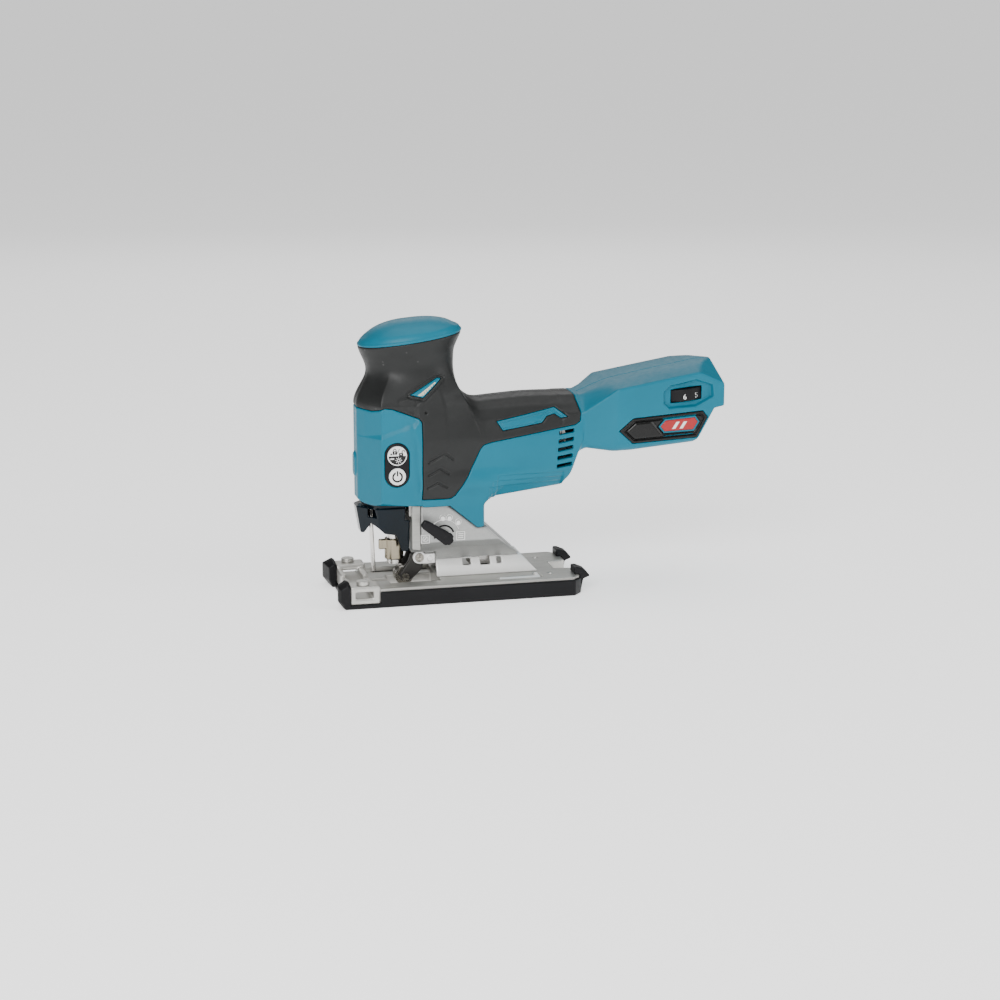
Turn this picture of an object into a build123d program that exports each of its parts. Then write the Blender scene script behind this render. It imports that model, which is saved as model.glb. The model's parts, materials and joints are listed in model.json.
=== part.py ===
from build123d import *
from math import atan2, cos, degrees, hypot, pi, radians, sin
import os

# A bare cordless jigsaw with a barrel grip, in millimetres. -X is the cutting direction, +Z is up,
# Y = 0 is the middle plane, and Z = 0 is the underside of the sole. The user's left is -Y.

# ---- base ----
SOLE_FRONT, SOLE_REAR = -84.0, 85.0
PLATE_BOTTOM, PLATE_TOP = 3.0, 13.5
PLATE_HALF = 37.5
COVER_HALF = 39.5
COVER_WALL_TOP = 11.8
BLOCK_REAR = -61.0                      # rear end of the two front guide blocks
TILT_Z = 13.0                           # height of the bevel axis, which runs along X at Y = 0
TILT_RADIUS = 15.5                      # outside of the bracket's half cylinder
SEAT_RADIUS = 15.8                      # hollow seat in the gear housing that rides on the bracket
BRACKET_WALL = 1.9
TILT_BOLT_X = 20.0
WRENCH_Z = 12.2
BOLT_WINDOW = (8.6, 31.4)               # the opening under the bolt, through plate and sole

# ---- plunger, crank and motor ----
BLADE_X = -44.0
ROD_RADIUS = 5.0
CRANK_RADIUS = 13.0                     # half of the 26 mm stroke
MODULE = 1.0
PINION_TEETH, GEAR_TEETH = 10, 40
GEAR_Z = 81.0
MOTOR_Z = GEAR_Z + MODULE * (PINION_TEETH + GEAR_TEETH) / 2
GEAR_FRONT, GEAR_REAR = -27.0, -20.0
PIN_Z = GEAR_Z - CRANK_RADIUS           # the crank pin at the bottom of the stroke
FIT = 0.05                              # radial clearance of a running fit

# ---- casing ----
WALL = 4.0
GRIP_DEPTH = 2.2
COLUMN_HALF = 29.5
CASING_BOTTOM = 67.0
BLOCK_HALF = 36.0
CAP_TILT = 7.5
CAP_CENTRE = (-31.5, 184.8)             # X and Z of the middle of the cap's rim
MIDDLE_GAP = 0.02                       # each half of the casing stops this far from Y = 0
SCREW_PLACES = [(-18, 150), (-62, 128), (-62, 93), (12, 66), (84, 131), (116, 112.5), (121, 142)]

# ---- controls ----
PANEL_X, PANEL_LOW, PANEL_HIGH, PANEL_WIDTH = -46.5, 84.0, 115.3, 17.3
LOCK_BUTTON = (-46.5, 106.4, 6.9)       # X, Z and radius
POWER_BUTTON = (-46.5, 91.6, 6.0)
DIAL_PLACE = (162.0, -18.0, 141.5)
DIAL_RADIUS, DIAL_THICK, BLOCK_SLOPE = 18.0, 8.6, 5.5
LEVER_X, LEVER_Z = -12.3, 46.3

# ---- roller guide ----
ROLLER_X, ROLLER_Z, ROLLER_RADIUS = -37.6, 13.2, 6.6
ARM_X, ARM_Z = -28.2, 28.1

NODES = {}


# ---- small helpers ----

def group(*shapes):
    """One compound of every solid in the shapes, which may be lists or boolean results."""
    solids = []
    for shape in shapes:
        if shape is None:
            continue
        members = shape if isinstance(shape, (list, tuple)) else [shape]
        for member in members:
            solids.extend(member.solids())
    return Compound(solids)


def join(*shapes):
    first, *others = group(*shapes).solids()
    return group(first.fuse(*others)) if others else group(first)


def cut(shape, *tools):
    tool_solids = group(*tools).solids()
    return group([solid.cut(*tool_solids) for solid in shape.solids()])


def common(shape, tool):
    results = []
    for solid in shape.solids():
        for other in tool.solids():
            both = solid.intersect(other)
            if both:
                results.append(both)
    return group(*results)


def block(x, y, z):
    """A box from pairs of limits."""
    size = (x[1] - x[0], y[1] - y[0], z[1] - z[0])
    middle = (sum(x) / 2, sum(y) / 2, sum(z) / 2)
    return Solid.make_box(*size).moved(Location([m - s / 2 for m, s in zip(middle, size)]))


def rod(axis, start, radius, length):
    """A cylinder from its start point along X, Y or Z."""
    direction = {"X": (1, 0, 0), "Y": (0, 1, 0), "Z": (0, 0, 1)}[axis]
    return Solid.make_cylinder(radius, length, Plane(origin=start, z_dir=direction))


def tube(axis, start, outer, inner, length):
    return cut(rod(axis, start, outer, length), rod(axis, start, inner, length))


def prism(points, sweep):
    """A polygon of 3-D points, pushed along a vector."""
    return Solid.extrude(Face(Wire.make_polygon(points, close=True)), Vector(*sweep))


def prism_y(points, y):
    return prism([(px, y[0], pz) for px, pz in points], (0, y[1] - y[0], 0))


def prism_x(points, x):
    return prism([(x[0], py, pz) for py, pz in points], (x[1] - x[0], 0, 0))


def prism_z(points, z):
    return prism([(px, py, z[0]) for px, py in points], (0, 0, z[1] - z[0]))


def mirrored(shape):
    """The same piece on the other side of Y = 0."""
    return shape.mirror(Plane.XZ)


def both_sides(points):
    """A half outline from one side of Y = 0, closed with its mirror image."""
    return points + [(px, -py) for px, py in reversed(points)]


def inset(points, depth):
    """An outline whose sides have all moved inwards by the depth. Its points run anticlockwise."""
    if not depth:
        return points
    result = []
    for index, (px, py) in enumerate(points):
        before = points[index - 1]
        after = points[(index + 1) % len(points)]
        first = atan2(py - before[1], px - before[0])
        second = atan2(after[1] - py, after[0] - px)
        middle = (first + second) / 2 + (pi if abs(first - second) > pi else 0)
        reach = depth / max(cos((second - first) / 2 if abs(first - second) <= pi
                                else (2 * pi - abs(first - second)) / 2), 0.3)
        result.append((px - sin(middle) * reach, py + cos(middle) * reach))
    return result


def ring(plane, half_u, half_v, power, count=20):
    """A smooth closed curve on a plane: an ellipse at power 2, squarer as the power grows."""
    points = []
    for step in range(count):
        turn = 2 * pi * step / count
        u, v = cos(turn), sin(turn)
        size = (abs(u) ** power + abs(v) ** power) ** (-1 / power)
        points.append(plane.from_local_coords(Vector(half_u * size * u, half_v * size * v, 0)))
    return Wire([Edge.make_spline(points, periodic=True)])


def level(x, z, tilt=0.0):
    """A plane across the grip column, tipped so that its front is low."""
    return Plane(origin=(x, 0, z), x_dir=(cos(radians(tilt)), 0, sin(radians(tilt))),
                 z_dir=(-sin(radians(tilt)), 0, cos(radians(tilt))))


# ---- outer form of the casing, at a depth below its surface ----

def column_form(depth):
    plan = both_sides([(-71.0, -7.0), (-57.5, -COLUMN_HALF), (-12.0, -COLUMN_HALF - 1.0), (4.0, -24.0)])
    plan = inset(plan, depth)
    column = prism_z(plan, (CASING_BOTTOM, 141.0 - depth))
    if depth:
        return column
    low_front = prism_y([(-72, 60), (-58, 60), (-66, 67), (-72, 74)], (-40, 40))
    return cut(column, low_front)


def neck_form(depth):
    stations = [(-31.5, 137.0, 39.4, 29.4, 3.0, 0.0), (-32.6, 150.0, 34.7, 26.2, 2.6, 1.0),
                (-31.5, 163.0, 31.0, 22.4, 2.2, 3.0), (-32.4, 173.5, 31.9, 23.0, 2.1, 5.5),
                (*CAP_CENTRE, 36.6, 26.8, 2.0, CAP_TILT)]
    wires = []
    for x, z, half_x, half_y, power, tilt in stations:
        drop = depth if z == CAP_CENTRE[1] else 0
        wires.append(ring(level(x, z - drop, tilt), half_x - depth, half_y - depth, power))
    return Solid.make_loft(wires)


def barrel_form(depth):
    stations = [(-25.0, 30.0, 68.0, 138.5), (20.0, 31.0, 68.5, 140.3), (58.0, 31.3, 70.5, 142.3),
                (83.0 - depth, 29.5, 73.5, 142.0)]
    wires = []
    for x, half_y, low, high in stations:
        plane = Plane(origin=(x, 0, (low + high) / 2), x_dir=(0, 1, 0), z_dir=(1, 0, 0))
        wires.append(ring(plane, half_y - depth, (high - low) / 2 - depth, 3.0))
    return Solid.make_loft(wires)


def block_form(depth):
    """The rear block: a tube from the motor that opens into a chamfered box."""
    stations = [(76.0, 29.0, 96.0, 132.0, 141.8, 14.0), (88.0, 29.5, 97.0, 132.0, 141.8, 14.0),
                (110.0, BLOCK_HALF, 101.5, 151.4, 153.0, 18.0),
                (172.0, BLOCK_HALF, 106.5, 158.0, 161.0, 18.0),
                (190.0 - depth, BLOCK_HALF, 108.0, 150.0, 161.0, 12.0)]
    wires = []
    for x, half, low, shoulder, high, flat in stations:
        half, low, shoulder, high = half - depth, low + depth, shoulder - depth, high - depth
        outline = [(half, low + 4), (half, shoulder), (flat, high), (-flat, high),
                   (-half, shoulder), (-half, low + 4), (4 - half, low), (half - 4, low)]
        wires.append(Wire.make_polygon([(x, y, z) for y, z in outline], close=True))
    return Solid.make_loft(wires, ruled=True)


def web_form(depth):
    """The lower casing that straddles the gear housing."""
    outline = [(-29.0, 67.0), (-10.5, 67.0), (11.3, 51.0), (18.4, 51.7), (22.0, 74.0), (-29.0, 80.0)]
    half = 26.5 - depth / 2
    back = 18.4 - depth
    if not depth:
        return prism_y(outline, (-half, half))
    outline = [(-29.0, 60.0), (-10.5, 60.0), (8.0, 46.0), (back, 46.0), (back + 2, 80.0), (-29.0, 82.0)]
    return prism_y(outline, (-half, half))


def casing_form(depth):
    return join(column_form(depth), neck_form(depth), barrel_form(depth), block_form(depth), web_form(depth))


# ---- battery seat: a slanted pocket in the rear end, open below and behind ----

SEAT_ANGLE = degrees(atan2(22.0, 12.1))
SEAT_LOW = (148.9, 95.0)
SEAT_TOP = (172.0, 137.0)
SEAT_DEPTH = 24.0


def seat_plane():
    """X runs up the seat and Z points out of it."""
    slide = (cos(radians(SEAT_ANGLE)), 0, sin(radians(SEAT_ANGLE)))
    out = (sin(radians(SEAT_ANGLE)), 0, -cos(radians(SEAT_ANGLE)))
    middle = ((SEAT_LOW[0] + SEAT_TOP[0]) / 2, 0, (SEAT_LOW[1] + SEAT_TOP[1]) / 2)
    return Plane(origin=middle, x_dir=slide, z_dir=out)


def on_seat(along, across, out):
    """A box on the battery seat: limits up the seat, across it and out from it."""
    return block(along, across, out).moved(Location(seat_plane()))


def battery_pocket(half, behind):
    return on_seat((-32, 24), (-half, half), (-behind, SEAT_DEPTH))


# ---- casing halves, grips and cap ----

def rubber_region():
    outline = [(-90, 141), (-67.7, 137.3), (-61.8, 136.9), (-54.4, 139.8), (-49.5, 139.1), (-30.8, 131.9),
               (-28.9, 129.3), (-28.9, 74.0), (-8.3, 74.0), (-5.4, 75.7), (3.5, 89.9), (13.0, 109.0),
               (20.4, 112.9), (81.5, 122.6), (86.0, 126.0), (87.0, 141.0), (87.0, 200), (-90, 200)]
    return prism_y(outline, (-45, 45))


def vent_slots():
    slots = []
    for step in range(5):
        low, front = 115.6 - 5.95 * step, 69.7 - 0.42 * step
        slots.append(prism_y([(front, low), (front + 11.0, low + 1.8), (front + 11.0, low + 4.6),
                              (front, low + 2.8)], (-40, 40)))
    return group(slots)


def capsule(x, low, high, width, y):
    """An upright slot shape with round ends."""
    half = width / 2
    depth = y[1] - y[0]
    return join(block((x - half, x + half), y, (low + half, high - half)),
                rod("Y", (x, y[0], low + half), half, depth), rod("Y", (x, y[0], high - half), half, depth))


def inlay_outline(margin):
    points = [(113.0, 115.0), (122.2, 108.6), (169.5, 111.2), (177.0, 124.0), (173.5, 129.0), (122.5, 125.6)]
    return inset(points, margin)


def motor_supports():
    rings = [block(limits, (-40, 40), (60, 150)) for limits in ((23.0, 26.0), (48.0, 51.0), (80.0, 86.5))]
    supports = common(group(rings), barrel_form(WALL - 0.5))
    return cut(supports, rod("X", (20, 0, MOTOR_Z), 26.0, 35), rod("X", (70, 0, MOTOR_Z), 9.0, 40))


def screw_bosses():
    return group([rod("Y", (x, -40, z), 4.2, 80) for x, z in SCREW_PLACES])


def make_casing():
    outer = casing_form(0)
    cavity = cut(casing_form(WALL), battery_pocket(30.5, 3.0))
    under_pocket = prism_y([(150, 90), (170.4, 109.2), (182.5, 131.2), (195, 134.5), (215, 90)], (-50, 50))
    outer = cut(outer, under_pocket, battery_pocket(30.0, 0))
    grip = common(outer, rubber_region())
    grip = cut(grip, casing_form(GRIP_DEPTH))
    shell = cut(outer, grip, cavity)
    supports = common(join(motor_supports(), screw_bosses()), casing_form(WALL - 0.5))
    shell = join(shell, cut(supports, battery_pocket(30.5, 3.0)))
    return shell, grip


def screw_holes():
    """Blind pilot holes on the left, and clear holes with sunk heads on the right."""
    holes = []
    for x, z in SCREW_PLACES:
        holes.append(rod("Y", (x, -15, z), 1.3, 15.5))
        holes.append(rod("Y", (x, 0, z), 1.65, 40))
        holes.append(rod("Y", (x, 16, z), 3.3, 30))
    return holes


def cut_casing(shell):
    """Openings for the controls, vents, screws, lever side and inner parts."""
    tools = [vent_slots()]
    for side in (-1, 1):
        for place in (LOCK_BUTTON, POWER_BUTTON):
            tools.append(rod("Y", (place[0], min(0, side * 40), place[1]), 2.4, 40))
        face = sorted((side * (COLUMN_HALF - 1.4), side * (COLUMN_HALF + 4)))
        tools.append(capsule(PANEL_X, PANEL_LOW, PANEL_HIGH, PANEL_WIDTH, face))
        skin = sorted((side * (BLOCK_HALF - 1.6), side * (BLOCK_HALF + 4)))
        tools.append(prism_y(inlay_outline(0), skin))
    tools += screw_holes()
    tools.append(rod("X", (78, 0, MOTOR_Z), 9.0, 14))
    recess = [(145.0, 134.0), (149.5, 131.0), (168.5, 132.5), (181.5, 139.0), (180.5, 147.5), (168.0, 151.0),
              (149.5, 149.0), (145.0, 144.5)]
    tools.append(prism_y(recess, (-BLOCK_HALF - 4, -BLOCK_HALF + 3)))
    tools.append(tilted(rod("Z", (0, 0, -DIAL_THICK / 2 - 0.5), DIAL_RADIUS + 0.5, DIAL_THICK + 1)))
    return cut(shell, *tools)


def halves(shape):
    left = common(shape, block((-200, 300), (-60, -MIDDLE_GAP), (0, 250)))
    right = common(shape, block((-200, 300), (MIDDLE_GAP, 60), (0, 250)))
    return left, right


def biggest(shape, smallest=20.0):
    """Every solid but the crumbs that a boolean can leave."""
    return group([solid for solid in shape.solids() if solid.volume > smallest])


def make_top_cap():
    wires = []
    for rise, share in ((0.0, 1.0), (3.6, 0.985), (7.4, 0.91), (10.6, 0.74), (12.6, 0.46)):
        base = level(*CAP_CENTRE, CAP_TILT)
        plane = Plane(origin=base.origin + base.z_dir * rise, x_dir=base.x_dir, z_dir=base.z_dir)
        wires.append(ring(plane, 36.6 * share, 26.8 * share, 2.0))
    return Solid.make_loft(wires)


# ---- controls and electrics ----

def make_switch_panel():
    """The left-hand panel, with its two button holes."""
    face = (-COLUMN_HALF - 0.4, -COLUMN_HALF + 1.4)
    panel = capsule(PANEL_X, PANEL_LOW + 0.05, PANEL_HIGH - 0.05, PANEL_WIDTH - 0.1, face)
    holes = [rod("Y", (x, -40, z), radius + 0.15, 20) for x, z, radius in (LOCK_BUTTON, POWER_BUTTON)]
    return cut(panel, *holes)


def make_button(place):
    """A left-hand button: a round face on a stem that reaches through the casing to the board."""
    x, z, radius = place
    face = rod("Y", (x, -COLUMN_HALF - 1.1, z), radius, 1.6)
    stem = rod("Y", (x, -COLUMN_HALF + 0.4, z), 2.1, 4.4)
    return join(face, stem)


def make_switch_board():
    boards = []
    for side in (-1, 1):
        inner, outer = side * 22.9, side * 21.5
        boards.append(block((-53, -40), sorted((inner, outer)), (86, 112)))
    bridge = block((-55.6, -54.4), (-22.9, 22.9), (94, 104))
    arms = [block((-55.6, -52.8), sorted((side * 21.5, side * 22.9)), (94, 104)) for side in (-1, 1)]
    return join(*boards, bridge, *arms)


def tilted(shape):
    return shape.moved(Location(DIAL_PLACE, (0, -BLOCK_SLOPE, 0)))


def make_speed_dial():
    wheel = rod("Z", (0, 0, -DIAL_THICK / 2), DIAL_RADIUS, DIAL_THICK)
    grooves = [rod("Z", (DIAL_RADIUS * 1.02 * cos(2 * pi * k / 30), DIAL_RADIUS * 1.02 * sin(2 * pi * k / 30),
                         -DIAL_THICK), 0.6, 2.2 + DIAL_THICK / 2) for k in range(30)]
    bore = rod("Z", (0, 0, -DIAL_THICK), 3.0, 2 * DIAL_THICK)
    return tilted(cut(wheel, *grooves, bore))


def make_dial_pot():
    shaft = rod("Z", (0, 0, -DIAL_THICK / 2), 3.0 - FIT, DIAL_THICK + 1)
    body = block((-6, 6), (-6, 6), (DIAL_THICK / 2 + 0.6, DIAL_THICK / 2 + 2.8))
    return tilted(join(shaft, body))


def make_terminal_block():
    body = on_seat((-5, 18), (-15, 15), (0.0, 7.0))
    slots = [on_seat((-6, 13), (y - 1.2, y + 1.2), (1.5, 8)) for y in (-10.5, -3.5, 3.5, 10.5)]
    return cut(body, *slots)


def make_terminal_blades():
    return group([on_seat((-3, 11), (y - 0.4, y + 0.4), (1.5, 6.2)) for y in (-10.5, -3.5, 3.5, 10.5)])


# ---- motor and drive ----

def toothed(teeth, x, z, phase):
    """A spur gear about X whose teeth are plain trapezoids with backlash."""
    pitch = MODULE * teeth / 2
    root, tip = pitch - 1.25 * MODULE, pitch + 0.85 * MODULE
    step = 2 * pi / teeth
    body = rod("X", (x[0], 0, z), root, x[1] - x[0])
    cutters = []
    for k in range(teeth):
        middle = phase + k * step
        points = []
        for radius, share in ((root - 0.4, 0.30), (tip, 0.15)):
            points.append((radius, share * step))
        outline = [(points[0][0] * cos(middle - points[0][1]), points[0][0] * sin(middle - points[0][1])),
                   (points[1][0] * cos(middle - points[1][1]), points[1][0] * sin(middle - points[1][1])),
                   (points[1][0] * cos(middle + points[1][1]), points[1][0] * sin(middle + points[1][1])),
                   (points[0][0] * cos(middle + points[0][1]), points[0][0] * sin(middle + points[0][1]))]
        cutters.append(prism_x([(y, z + rise) for y, rise in outline], x))
    return join(body, *cutters)


def make_crank_gear():
    """The crank disc gear. It has a tooth straight up, which the pinion's gap takes."""
    gear = toothed(GEAR_TEETH, (GEAR_FRONT, GEAR_REAR), GEAR_Z, pi / 2)
    hub = rod("X", (GEAR_REAR - 0.5, 0, GEAR_Z), 8.0, 5.5)
    holes = [rod("X", (GEAR_FRONT - 1, 11.5 * cos(turn), GEAR_Z + 11.5 * sin(turn)), 2.6, 12)
             for turn in (pi / 6, 5 * pi / 6, pi / 2)]
    return cut(join(gear, hub), *holes, rod("X", (GEAR_FRONT - 1, 0, GEAR_Z), 4.0, 20))


def make_rotor_shaft():
    """The motor shaft with its pinion, which has a gap straight down."""
    pinion = toothed(PINION_TEETH, (GEAR_FRONT - 0.5, GEAR_REAR + 0.5), MOTOR_Z, -pi / 2 + pi / PINION_TEETH)
    shaft = rod("X", (GEAR_REAR, 0, MOTOR_Z), 3.0, 108.0)
    return join(pinion, shaft)


def make_rotor_core():
    core = rod("X", (21, 0, MOTOR_Z), 14.5, 32)
    magnets = [block((20, 54), (-1.2, 1.2), (MOTOR_Z + 13.4, MOTOR_Z + 16)).rotate(
        Axis((0, 0, MOTOR_Z), (1, 0, 0)), 45 * k) for k in range(8)]
    return cut(core, *magnets, rod("X", (0, 0, MOTOR_Z), 3.0, 100))


def make_stator():
    ring_part = tube("X", (24, 0, MOTOR_Z), 26.0, 21.5, 26)
    poles = [block((24, 50), (-4.2, 4.2), (MOTOR_Z + 15.2, MOTOR_Z + 22)).rotate(
        Axis((0, 0, MOTOR_Z), (1, 0, 0)), 60 * k) for k in range(6)]
    return join(ring_part, *poles)


def make_coils():
    """Six windings, one round each stator pole."""
    coils = []
    for k in range(6):
        outer = block((20.5, 53.5), (-6.6, 6.6), (MOTOR_Z + 16.6, MOTOR_Z + 20.4))
        inner = block((23.9, 50.1), (-4.3, 4.3), (MOTOR_Z + 15, MOTOR_Z + 22))
        coils.append(cut(outer, inner).rotate(Axis((0, 0, MOTOR_Z), (1, 0, 0)), 60 * k))
    return group(coils)


def make_fan():
    disc = rod("X", (60, 0, MOTOR_Z), 22.0, 1.6)
    hub = rod("X", (58, 0, MOTOR_Z), 7.0, 14)
    blades = [block((61, 70), (-0.8, 0.8), (MOTOR_Z + 9, MOTOR_Z + 22)).rotate(
        Axis((0, 0, MOTOR_Z), (1, 0, 0)), 40 * k) for k in range(9)]
    return cut(join(disc, hub, *blades), rod("X", (0, 0, MOTOR_Z), 3.0, 100))


def make_bearing(x, z, outer, inner, width):
    """Two rings and a seal between them, as one unit."""
    whole = tube("X", (x, 0, z), outer, inner, width)
    groove = [tube("X", (start, 0, z), outer - 1.8, inner + 1.6, 0.5) for start in (x - 0.1, x + width - 0.4)]
    return cut(whole, *groove)


def make_gear_housing():
    """The casting: a visible lower body with a coved foot, and a closed upper box round the drive."""
    side = [(-35.0, 25.6), (46.5, 25.6), (18.4, 51.2), (11.3, 51.2), (-9.7, 68.4), (-35.0, 68.4)]
    section = [(-24.0, 70), (-24.0, 41.7), (-20.5, 36.4), (-14.0, 29.4), (-10.5, 25.6),
               (10.5, 25.6), (14.0, 29.4), (20.5, 36.4), (24.0, 41.7), (24.0, 70)]
    lower = common(prism_y(side, (-30, 30)), prism_x(section, (-40, 50)))
    step = [block((-36, -29), sorted((s * 20.5, s * 30)), (20, 70)) for s in (-1, 1)]
    lower = cut(lower, *step)
    upper = block((-38.5, -2), (-22.5, 22.5), (58, 121))
    neck = block((-54, -37), (-11, 11), (67.6, 128))
    body = join(lower, upper, neck)
    hollow = [block((-37.4, -17), (-21.2, 21.2), (56, 103.5)),
              block((-37.4, -30), (-9.2, 9.2), (100, 117)),
              block((-52, -37), (-9.2, 9.2), (74.8, 116.2)),
              rod("X", (-29.5, 0, MOTOR_Z), 7.2, 13),
              rod("X", (-17.5, 0, GEAR_Z), 8.6, 4.0),
              rod("X", (-20, 0, MOTOR_Z), 5.0, 30),
              rod("X", (-9, 0, MOTOR_Z), 11.0, 10),
              rod("X", (-14, 0, GEAR_Z), 10.0, 7.0),
              rod("X", (-20, 0, GEAR_Z), 4.8, 30),
              rod("Z", (BLADE_X, 0, 60), 6.8, 14.9), rod("Z", (BLADE_X, 0, 116), 6.8, 10.5),
              rod("Z", (BLADE_X, 0, 50), 7.3, 17.0),
              rod("Z", (BLADE_X, 0, 120), 5.6, 20),
              rod("X", (-60, 0, GUARD_TOP), 1.5, 9),
              block((-24.0, 14.0), (-12.5, 12.5), (34.5, 42.0)),
              rod("X", (-60, 0, TILT_Z), SEAT_RADIUS, 130),
              rod("Z", (TILT_BOLT_X, 0, 20), 3.0, 16),
              block((-50, -24.5), (-11.4, 11.4), (15, 34)),
              block((-50, -16.7), (-20, -11.2), (15, 33)), block((-50, -16.7), (11.2, 20), (15, 33)),
              rod("Y", (LEVER_X, -30, LEVER_Z), 3.0 + FIT, 17)]
    return cut(body, *hollow)


def make_yoke():
    """The Scotch yoke: a cross slot for the crank roller, and a hub that grips the rod."""
    plate = block((-36.6, -31.6), (-20.4, 20.4), (PIN_Z - 7.6, PIN_Z + 7.6))
    neck = block((-36.6, -31.6), (-8.0, 8.0), (PIN_Z, PIN_Z + 21.0))
    hub = rod("Z", (BLADE_X, 0, PIN_Z + 7.4), 7.6, 13.4)
    bridge = block((-40, -32), (-7.0, 7.0), (PIN_Z + 7.4, PIN_Z + 20.8))
    slot = block((-40, -30), (-17.6, 17.6), (PIN_Z - 4.6, PIN_Z + 4.6))
    return cut(join(plate, neck, hub, bridge), slot, rod("Z", (BLADE_X, 0, 40), ROD_RADIUS, 80))


def make_crank_pin():
    """The crank pin with its needle roller."""
    pin = rod("X", (-36.4, 0, PIN_Z), 2.6, 9.3)
    roller = rod("X", (-36.4, 0, PIN_Z), 4.5, 4.6)
    return join(pin, roller)


# ---- blade end ----

CLAMP_LOW, CLAMP_HIGH = 22.5, 40.5
GUARD_TOP = 74.0


def make_plunger_rod():
    return rod("Z", (BLADE_X, 0, 37), ROD_RADIUS, 92)


def make_blade_clamp():
    """The clamp's core, with the cross slot that takes a blade's shank."""
    core = rod("Z", (BLADE_X, 0, CLAMP_LOW), 5.4, 17.5)
    slot = block((BLADE_X - 3.8, BLADE_X + 3.8), (-0.9, 0.9), (CLAMP_LOW - 1, CLAMP_LOW + 13.5))
    return cut(core, slot, rod("Z", (BLADE_X, 0, 37), ROD_RADIUS, 20))


def make_clamp_sleeve():
    """The ring that is turned to free the blade, with its ear and a rolled lower lip."""
    sleeve = join(rod("Z", (BLADE_X, 0, CLAMP_LOW + 3.0), 6.8, CLAMP_HIGH - CLAMP_LOW - 3.0),
                  rod("Z", (BLADE_X, 0, CLAMP_LOW + 1.4), 6.2, 1.8))
    ear = join(block((-55, BLADE_X - 4), (-3.2, -0.4), (33.0, CLAMP_HIGH - 0.2)),
               rod("Z", (-54.0, -1.8, 33.0), 1.6, 7.3))
    return cut(join(sleeve, ear), rod("Z", (BLADE_X, 0, 0), 5.4 + FIT, 60))


def make_guard_wire():
    """A bent steel rod that stands in front of the blade."""
    top, bend = (-52.0, 0, GUARD_TOP), 4.0
    corner, foot = (-61.2, 0, GUARD_TOP), (-58.9, 0, 16.8)
    section = Wire([Edge.make_circle(1.5, Plane(origin=top, z_dir=(-1, 0, 0)))])
    return Solid.sweep(section, path=guard_path(top, corner, foot, bend))


def guard_path(top, corner, foot, bend):
    """Two straight runs joined by a tangent arc."""
    length = hypot(foot[0] - corner[0], foot[2] - corner[2])
    down = ((foot[0] - corner[0]) / length, (foot[2] - corner[2]) / length)
    first = Vector(corner[0] + bend, 0, corner[2])
    last = Vector(corner[0] + down[0] * bend, 0, corner[2] + down[1] * bend)
    arc = Edge.make_tangent_arc(first, Vector(-1, 0, 0), last)
    return Wire([Edge.make_line(Vector(*top), first), arc, Edge.make_line(last, Vector(*foot))])


def make_arm_plates():
    """Two steel cheeks that hold the roller arm's pin, one bolted to each side of the casting."""
    cheeks = []
    for side in (-1, 1):
        cheek = join(block((ARM_X, -16.9), sorted((side * 11.2, side * 13.4)), (23.4, 30.6)),
                     rod("Y", (ARM_X, min(side * 11.2, side * 13.4), ARM_Z), 4.6, 2.2))
        cheeks.append(cheek)
    bolts = [rod("Y", (-20.5, sorted((side * 13.4, side * 14.2))[0], 27.0), 2.0, 0.8) for side in (-1, 1)]
    plates = join(*cheeks, *bolts)
    return cut(plates, rod("Y", (ARM_X, -20, ARM_Z), 2.5, 40))


def make_arm_pin():
    heads = [rod("Y", (ARM_X, sorted((side * 13.4, side * 14.6))[0], ARM_Z), 3.2, 1.2) for side in (-1, 1)]
    return join(rod("Y", (ARM_X, -13.4, ARM_Z), 2.5, 26.8), *heads)


def make_roller_arm():
    """A forked black arm: a cheek on each side of the roller, joined behind it."""
    outline = [(-41.8, 14.7), (-40.0, 10.4), (-36.0, 9.4), (-31.4, 12.6), (-24.8, 19.0), (-24.9, 21.4),
               (-25.6, 30.6), (-30.4, 31.4), (-33.4, 30.0), (-35.2, 24.6), (-38.2, 20.6)]
    cheeks = [prism_y(outline, sorted((side * 5.3, side * 9.2))) for side in (-1, 1)]
    bridge = prism_y([(-30.0, 16.6), (-28.0, 16.2), (-24.8, 19.0), (-25.0, 30.6), (-30.4, 31.4),
                      (-29.6, 24.0)], (-6, 6))
    arm = join(*cheeks, bridge)
    return cut(arm, rod("Y", (ARM_X, -20, ARM_Z), 2.5 + FIT, 40),
               rod("Y", (ROLLER_X, -20, ROLLER_Z), 2.0, 40))


def make_guide_roller():
    """A steel roller with two flanges and a groove for the blade's back edge."""
    wheel = rod("Y", (ROLLER_X, -4.9, ROLLER_Z), ROLLER_RADIUS, 9.8)
    groove = tube("Y", (ROLLER_X, -1.0, ROLLER_Z), 8, ROLLER_RADIUS - 1.4, 2.0)
    return cut(wheel, groove, rod("Y", (ROLLER_X, -20, ROLLER_Z), 2.0 + FIT, 40))


def make_roller_pin():
    heads = [rod("Y", (ROLLER_X, sorted((side * 9.2, side * 10.0))[0], ROLLER_Z), 2.9, 0.8)
             for side in (-1, 1)]
    return join(rod("Y", (ROLLER_X, -9.2, ROLLER_Z), 2.0, 18.4), *heads)


def tapered(high, low):
    """A ruled solid between two level outlines, each an outline and its height."""
    wires = [Wire.make_polygon([(x, y, z) for x, y in both_sides(points)], close=True)
             for points, z in (high, low)]
    return Solid.make_loft(wires, ruled=True)


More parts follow.
